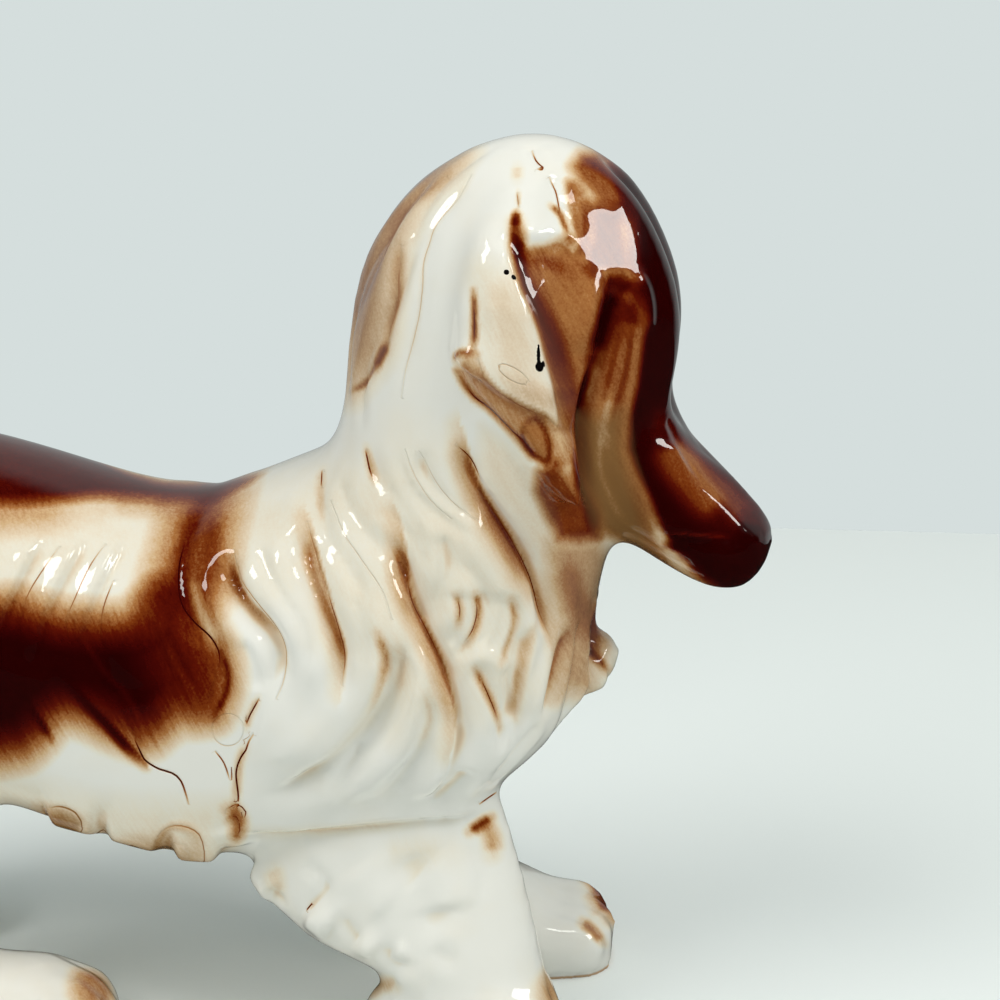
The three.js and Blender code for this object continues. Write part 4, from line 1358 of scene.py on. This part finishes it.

# %% [markdown]
# The finish is built up much as on the real dog. The sprayed thickness is roughened by drops and streaks
# where it is half thick, hollows get pooled brown with painted shade, clouds are added, and hairlines are
# drawn over it. Its colour lies under a clear coat with the refraction of glaze, 1.55, and almost no
# roughness. Brushed is how strongly the streaks show.

# %% The glaze


def glaze_finish(name, brushed):
    material, tree = new_material(name)
    place = add(tree, "ShaderNodeTexCoord", give="Object")
    layer = {}
    for attribute in LAYERS:
        layer[attribute] = add(tree, "ShaderNodeAttribute", give="Fac", attribute_name=attribute)
    noise = {}
    for pattern, (sizes, tilt, detail, rough) in PATTERNS.items():
        per_size = [1 / (size * MM) for size in sizes]
        turned = add(tree, "ShaderNodeMapping", {"Vector": place, "Rotation": (0, tilt, 0)})
        scaled = add(tree, "ShaderNodeMapping", {"Vector": turned, "Scale": per_size})
        look = {"Vector": scaled, "Scale": 1.0, "Detail": detail, "Roughness": rough}
        noise[pattern] = add(tree, "ShaderNodeTexNoise", look)
    for pattern, swing in (("drops", DROPS), ("streaks", 2 * brushed), ("clouds", CLOUDS)):
        ends = {"Value": noise[pattern], "To Min": -swing, "To Max": swing}
        noise[pattern] = add(tree, "ShaderNodeMapRange", ends, clamp=False)

    # Thickness of brown, with the noise where it is half thick
    thick = layer["brown"]
    rest = add(tree, "ShaderNodeMath", {0: 1.0, 1: thick}, operation="SUBTRACT")
    half = add(tree, "ShaderNodeMath", {0: thick, 1: rest}, operation="MULTIPLY")
    rough = add(tree, "ShaderNodeMath", {0: noise["drops"], 1: noise["streaks"]}, operation="ADD")
    thick = add(tree, "ShaderNodeMath", {0: rough, 1: half, 2: thick}, operation="MULTIPLY_ADD")
    # Pooled brown and painted shade darken the hollows, and clouds vary the thickness
    ends = {
        "Value": layer["hollow"],
        "From Min": HOLLOW_FROM,
        "From Max": HOLLOW_TO,
        "To Max": HOLLOW_BROWN_AND_SHADE,
    }
    pooled_brown_and_shade = add(tree, "ShaderNodeMapRange", ends, interpolation_type="SMOOTHSTEP")
    for more in (pooled_brown_and_shade, noise["clouds"]):
        thick = add(tree, "ShaderNodeMath", {0: thick, 1: more}, operation="ADD")

    # Hairlines, as a dark line and as a notch
    away = add(tree, "ShaderNodeMath", {0: layer["hair"]}, operation="ABSOLUTE")
    beside = add(tree, "ShaderNodeMath", {0: layer["hair_on"], 1: 0.75}, operation="GREATER_THAN")
    tone = add(tree, "ShaderNodeMath", {0: layer["hair_tone"], 1: beside}, operation="MULTIPLY")
    drawn = []
    for (soft, hard), top in ((LINE_SOFT, tone), (NOTCH_SOFT, beside)):
        ends = {"Value": away, "From Min": soft, "From Max": hard, "To Max": top}
        drawn.append(add(tree, "ShaderNodeMapRange", ends, interpolation_type="SMOOTHSTEP"))
    dark_line, notch = drawn
    thick = add(tree, "ShaderNodeMath", {0: thick, 1: dark_line}, operation="MAXIMUM", use_clamp=True)

    # Colour of that thickness, and the tints, chips and bare soles over it
    colour = add(tree, "ShaderNodeValToRGB", {"Fac": thick})
    steps = colour.node.color_ramp.elements
    while len(steps) < len(BROWN_STEPS):
        steps.new(0.5)
    for step, (position, shade) in zip(steps, BROWN_STEPS):
        step.position = position
        step.color = linear(shade)
    tints = []
    for attribute, tint in (("taupe", TAUPE), ("olive", OLIVE)):
        ends = {"Value": thick, "From Min": TINT_FROM, "From Max": TINT_TO, "To Max": layer[attribute]}
        tints.append((add(tree, "ShaderNodeMapRange", ends, interpolation_type="SMOOTHSTEP"), tint))
    for middle, radius in chips:
        far = add(tree, "ShaderNodeVectorMath", {0: place, 1: middle}, give="Value", operation="DISTANCE")
        tints.append((add(tree, "ShaderNodeMath", {0: far, 1: radius}, operation="LESS_THAN"), CHIP))
    above = add(tree, "ShaderNodeSeparateXYZ", {"Vector": place}, give="Z")
    ends = {"Value": above, "From Min": SOLE_EDGE[0] * MM, "From Max": SOLE_EDGE[1] * MM}
    bare = add(tree, "ShaderNodeMapRange", ends, interpolation_type="SMOOTHSTEP")
    tints.append((bare, BARE_CLAY))
    for share, tint in tints:
        layers = {0: share, 6: colour, 7: linear(tint)}
        colour = add(tree, "ShaderNodeMix", layers, give=2, data_type="RGBA")

    # The clear coat has waves, and only the body under it has the notches
    coat = add(tree, "ShaderNodeMath", {0: 1.0, 1: bare}, operation="SUBTRACT")
    bump = {"Height": noise["waves"], "Strength": 0.25, "Distance": WAVE_HEIGHT * MM}
    waves = add(tree, "ShaderNodeBump", bump)
    bump = {"Height": notch, "Normal": waves, "Strength": 0.7, "Distance": WAVE_HEIGHT * MM}
    notched = add(tree, "ShaderNodeBump", bump, invert=True)
    shader = add(tree, "ShaderNodeBsdfPrincipled", {
        "Base Color": colour,
        "Roughness": 0.6,
        "Specular IOR Level": 0,
        "Normal": notched,
        "Coat Weight": coat,
        "Coat Roughness": 0.03,
        "Coat IOR": 1.55,
        "Coat Normal": waves,
    })
    add(tree, "ShaderNodeOutputMaterial", {"Surface": shader})
    return material


cream_glaze = glaze_finish("cream_glaze_with_sprayed_brown", 0.2)
brown_glaze = glaze_finish("brown_glaze_over_cream", 0.12)
only(skin)
bpy.ops.object.shade_smooth()
skin.data.materials.clear()
print("nodes in the glaze:", len(cream_glaze.node_tree.nodes))

# %% [markdown]
# The finished skin is cut back into the pieces that were cast: head, ears, body, legs and tail. The neck
# is cut by a plane, as the joint is flat there. The others follow the line where a point is as near to
# one casting as to the other.

# %% Cutting at the joints
NECK_AT = np.array([45.85, 0, 187])  # mm, the nape end of the joint
NECK_TO = np.array([123.85, 0, 135])  # mm, its throat end
CUT_ROUNDS = 6
neck_way = NECK_TO - NECK_AT
neck_up = np.array([-neck_way[2], 0, neck_way[0]]) / np.linalg.norm(neck_way)
for node in SLIM_NODES + LEG_NODES:
    store(skin, "of_" + node, evened(owner[node], CUT_ROUNDS))

only(skin)
bpy.ops.object.mode_set(mode="EDIT")
bpy.context.tool_settings.mesh_select_mode = (False, False, True)
bpy.ops.mesh.select_all(action="SELECT")
bpy.ops.mesh.bisect(plane_co=NECK_AT * MM, plane_no=neck_up)
bpy.ops.object.mode_set(mode="OBJECT")
print("faces before the cut:", len(skin.data.polygons))

# %% [markdown]
# The faces of each casting are selected and split off with the separate operator, as by hand. A face goes
# with the casting that its corners belong to on average. The head comes first, the ears are then taken
# from it, and what is left at the end is the body.

# %% Separate castings


def faces_mean(thing, values):
    """The mean of a point value over each face."""
    loops = mesh_array(thing, "loops", "vertex_index", 1).astype(int)
    totals = mesh_array(thing, "polygons", "loop_total", 1).astype(int)
    sums = np.bincount(np.repeat(np.arange(len(totals)), totals), values[loops], len(totals))
    return sums / totals


def separate(thing, flags, name):
    """Splits the flagged faces off as a new object."""
    only(thing)
    bpy.ops.object.mode_set(mode="EDIT")
    bpy.ops.mesh.select_all(action="DESELECT")
    bpy.ops.object.mode_set(mode="OBJECT")
    thing.data.polygons.foreach_set("select", flags)
    bpy.ops.object.mode_set(mode="EDIT")
    bpy.ops.mesh.separate(type="SELECTED")
    bpy.ops.object.mode_set(mode="OBJECT")
    new = [one for one in bpy.context.selected_objects if one is not thing][0]
    new.name = name
    return new


def share_of(thing, node):
    """How far each face lies inside a casting, in mm."""
    values = np.empty(len(thing.data.vertices), np.float32)
    thing.data.attributes["of_" + node].data.foreach_get("value", values)
    return faces_mean(thing, values)


centres = mesh_array(skin, "polygons", "center", 3) / MM
pieces = {"head_shell": separate(skin, (centres - NECK_AT) @ neck_up > 0, "glazed_head")}
for node in ("right_ear", "left_ear"):
    head = pieces["head_shell"]
    pieces[node] = separate(head, share_of(head, node) > 0, "glazed_" + node)
for node in LEG_NODES + ["tail"]:
    pieces[node] = separate(skin, share_of(skin, node) > 0, "glazed_" + node)
pieces["torso_shell"] = skin
skin.name = "glazed_torso"
print("castings:", [piece.name for piece in pieces.values()])

# %% [markdown]
# Each cut leaves an open edge. It is capped with a fan of faces, so that every piece is a closed solid
# that can be moved on its own, and its rim is marked sharp, so that the cap doesn't bend the light on the
# skin.

# %% Closing the castings
QUAD = 4  # corners, a cap has more


def close(thing):
    """Caps every open edge with a fan of faces and keeps the rim crisp."""
    only(thing)
    bpy.ops.object.mode_set(mode="EDIT")
    bpy.context.tool_settings.mesh_select_mode = (False, True, False)
    bpy.ops.mesh.select_all(action="DESELECT")
    bpy.ops.mesh.select_non_manifold()
    bpy.ops.mesh.mark_sharp()
    bpy.ops.mesh.fill_holes(sides=0)
    bpy.ops.object.mode_set(mode="OBJECT")
    totals = mesh_array(thing, "polygons", "loop_total", 1)
    bpy.ops.object.mode_set(mode="EDIT")
    bpy.context.tool_settings.mesh_select_mode = (False, False, True)
    bpy.ops.mesh.select_all(action="DESELECT")
    bpy.ops.object.mode_set(mode="OBJECT")
    thing.data.polygons.foreach_set("select", totals > QUAD)
    bpy.ops.object.mode_set(mode="EDIT")
    bpy.ops.mesh.poke()
    bpy.ops.mesh.select_all(action="SELECT")
    bpy.ops.mesh.normals_make_consistent(inside=False)
    bpy.ops.object.mode_set(mode="OBJECT")


for piece in pieces.values():
    close(piece)
print("closed castings:", len(pieces))

# %% [markdown]
# Every casting rides on the dog's one body, stands for its shell and for the slip that holds it, and
# takes its glaze.

# %% Glaze and body of each casting
BROWN_PIECES = ["head_shell", "tail"]
SLIPS = {
    "head_shell": "neck_slip_ring",
    "right_ear": "right_ear_slip_pad",
    "left_ear": "left_ear_slip_pad",
    "tail": "tail_slip_pad",
}
SLIPS.update({node: node + "_slip_ring" for node in LEG_NODES})
for node, piece in pieces.items():
    is_brown = node in BROWN_PIECES
    piece.data.materials.clear()
    piece.data.materials.append(brown_glaze if is_brown else cream_glaze)
    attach(piece, "root")
    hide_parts(node, *([SLIPS[node]] if node in SLIPS else []))
    for unused in [one.name for one in piece.data.attributes if one.name.startswith("of_")]:
        piece.data.attributes.remove(piece.data.attributes[unused])
    piece.data.calc_loop_triangles()
    print(piece.name, "triangles:", len(piece.data.loop_triangles))

# %% [markdown]
# The dog stands on a pale table in front of a pale wall. The table is a matt board. In the glaze it shows
# dark, because the photo's brown parts mirror little from below.

# %% Table
TABLE_BACK = 497  # mm behind the dog's middle
TABLE_FRONT = -600  # mm
TABLE_LENGTH = 5000  # mm
BOARD = "#edf2f1"
BOARD_MIRRORED = "#1c1e1d"
bpy.ops.object.select_all(action="DESELECT")
bpy.ops.mesh.primitive_plane_add(size=1, location=(0, (TABLE_BACK + TABLE_FRONT) / 2 * MM, 0))
floor = bpy.context.object
floor.name = "table"
floor.scale = (TABLE_LENGTH * MM, (TABLE_BACK - TABLE_FRONT) * MM, 1)
bpy.ops.object.transform_apply(location=True, scale=True)
paper, tree = new_material("matt_pale_board")
mirrored = add(tree, "ShaderNodeLightPath", give="Is Glossy Ray")
both = {0: mirrored, 6: linear(BOARD), 7: linear(BOARD_MIRRORED)}
board = add(tree, "ShaderNodeMix", both, give=2, data_type="RGBA")
matt = add(tree, "ShaderNodeBsdfPrincipled", {
    "Base Color": board,
    "Roughness": 0.9,
    "Specular IOR Level": 0.1,
})
add(tree, "ShaderNodeOutputMaterial", {"Surface": matt})
floor.data.materials.append(paper)
print("table in mm:", TABLE_LENGTH, "by", TABLE_BACK - TABLE_FRONT)

# %% [markdown]
# Three windows give the crisp shapes that the glaze mirrors, and two large soft lamps give the even
# light. A lamp can be hidden from either kind of ray, so the shapes in the glaze and the level of light
# are set apart.

# %% Windows and soft lamps
LAMP_DISTANCE = 1500  # mm
DAYLIGHT = "#fffdf8"


def lamp(name, azimuth, elevation, width, height, power, mirrored):
    """An area lamp that looks at the dog. Azimuth 0 is in front of its right side."""
    turn = math.radians(azimuth)
    lift = math.radians(elevation)
    side = (math.sin(turn) * math.cos(lift), -math.cos(turn) * math.cos(lift), math.sin(lift))
    place = Vector(side) * LAMP_DISTANCE * MM
    bpy.ops.object.light_add(type="AREA", location=Vector(AIM) * MM + place)
    made = bpy.context.object
    made.name = name
    made.rotation_euler = place.to_track_quat("Z", "Y").to_euler()
    made.data.shape = "RECTANGLE"
    made.data.size = width * MM
    made.data.size_y = height * MM
    made.data.energy = power
    made.data.color = linear(DAYLIGHT)[:3]
    made.visible_glossy = mirrored
    made.visible_diffuse = not mirrored


# Azimuth and elevation in degrees, width and height in mm, power in watts, and whether the glaze mirrors it
LAMPS = {
    "left_window": (-66, 47, 340, 540, 4.8, True),
    "right_window": (84, 32, 660, 420, 9.7, True),
    "roof_window": (46, 60, 420, 220, 2.2, True),
    "soft_right": (62, 50, 900, 900, 11.4, False),
    "soft_left": (-46, 50, 900, 900, 10.4, False),
}
for name, settings in LAMPS.items():
    lamp(name, *settings)
print("lamps:", list(LAMPS))

# %% [markdown]
# The room is the world's own light. The camera sees the plain wall, matt surfaces get an even level, and
# the glaze mirrors a dark room: only near the outline, where it turns away from the eye, does it show the
# pale wall, and a faint glow from the right.

# %% The room
WALL = "#d5dedd"
AMBIENT = 0.61
WALL_GLOW = 0.55
SIDE_GLOW = 0.14
world = bpy.data.worlds.new("room")
bpy.context.scene.world = world
world.use_nodes = True
tree = world.node_tree
tree.nodes.clear()
toward = add(tree, "ShaderNodeTexCoord", give="Generated")
parts = add(tree, "ShaderNodeSeparateXYZ", {"Vector": toward}).node.outputs
ends = {"Value": parts["Y"], "From Min": 0.45, "From Max": 0.75, "To Max": WALL_GLOW}
behind = add(tree, "ShaderNodeMapRange", ends, interpolation_type="SMOOTHSTEP")
ends = {"Value": parts["Z"], "From Min": 0.22, "From Max": 0.42, "To Max": SIDE_GLOW}
raised = add(tree, "ShaderNodeMapRange", ends, interpolation_type="SMOOTHSTEP")
ends = {"Value": parts["X"], "From Min": 0.55, "From Max": 0.8, "To Max": raised}
aside = add(tree, "ShaderNodeMapRange", ends, interpolation_type="SMOOTHSTEP")
glow = add(tree, "ShaderNodeMath", {0: behind, 1: aside}, operation="MAXIMUM")
rays = add(tree, "ShaderNodeLightPath").node.outputs
level = add(tree, "ShaderNodeMix", {0: rays["Is Glossy Ray"], 2: AMBIENT, 3: glow}, data_type="FLOAT")
level = add(tree, "ShaderNodeMix", {0: rays["Is Camera Ray"], 2: level, 3: 1.0}, data_type="FLOAT")
light = add(tree, "ShaderNodeBackground", {"Color": linear(WALL), "Strength": level})
add(tree, "ShaderNodeOutputWorld", {"Surface": light})
bpy.context.scene.view_settings.view_transform = "Standard"
print("level of the room:", AMBIENT)
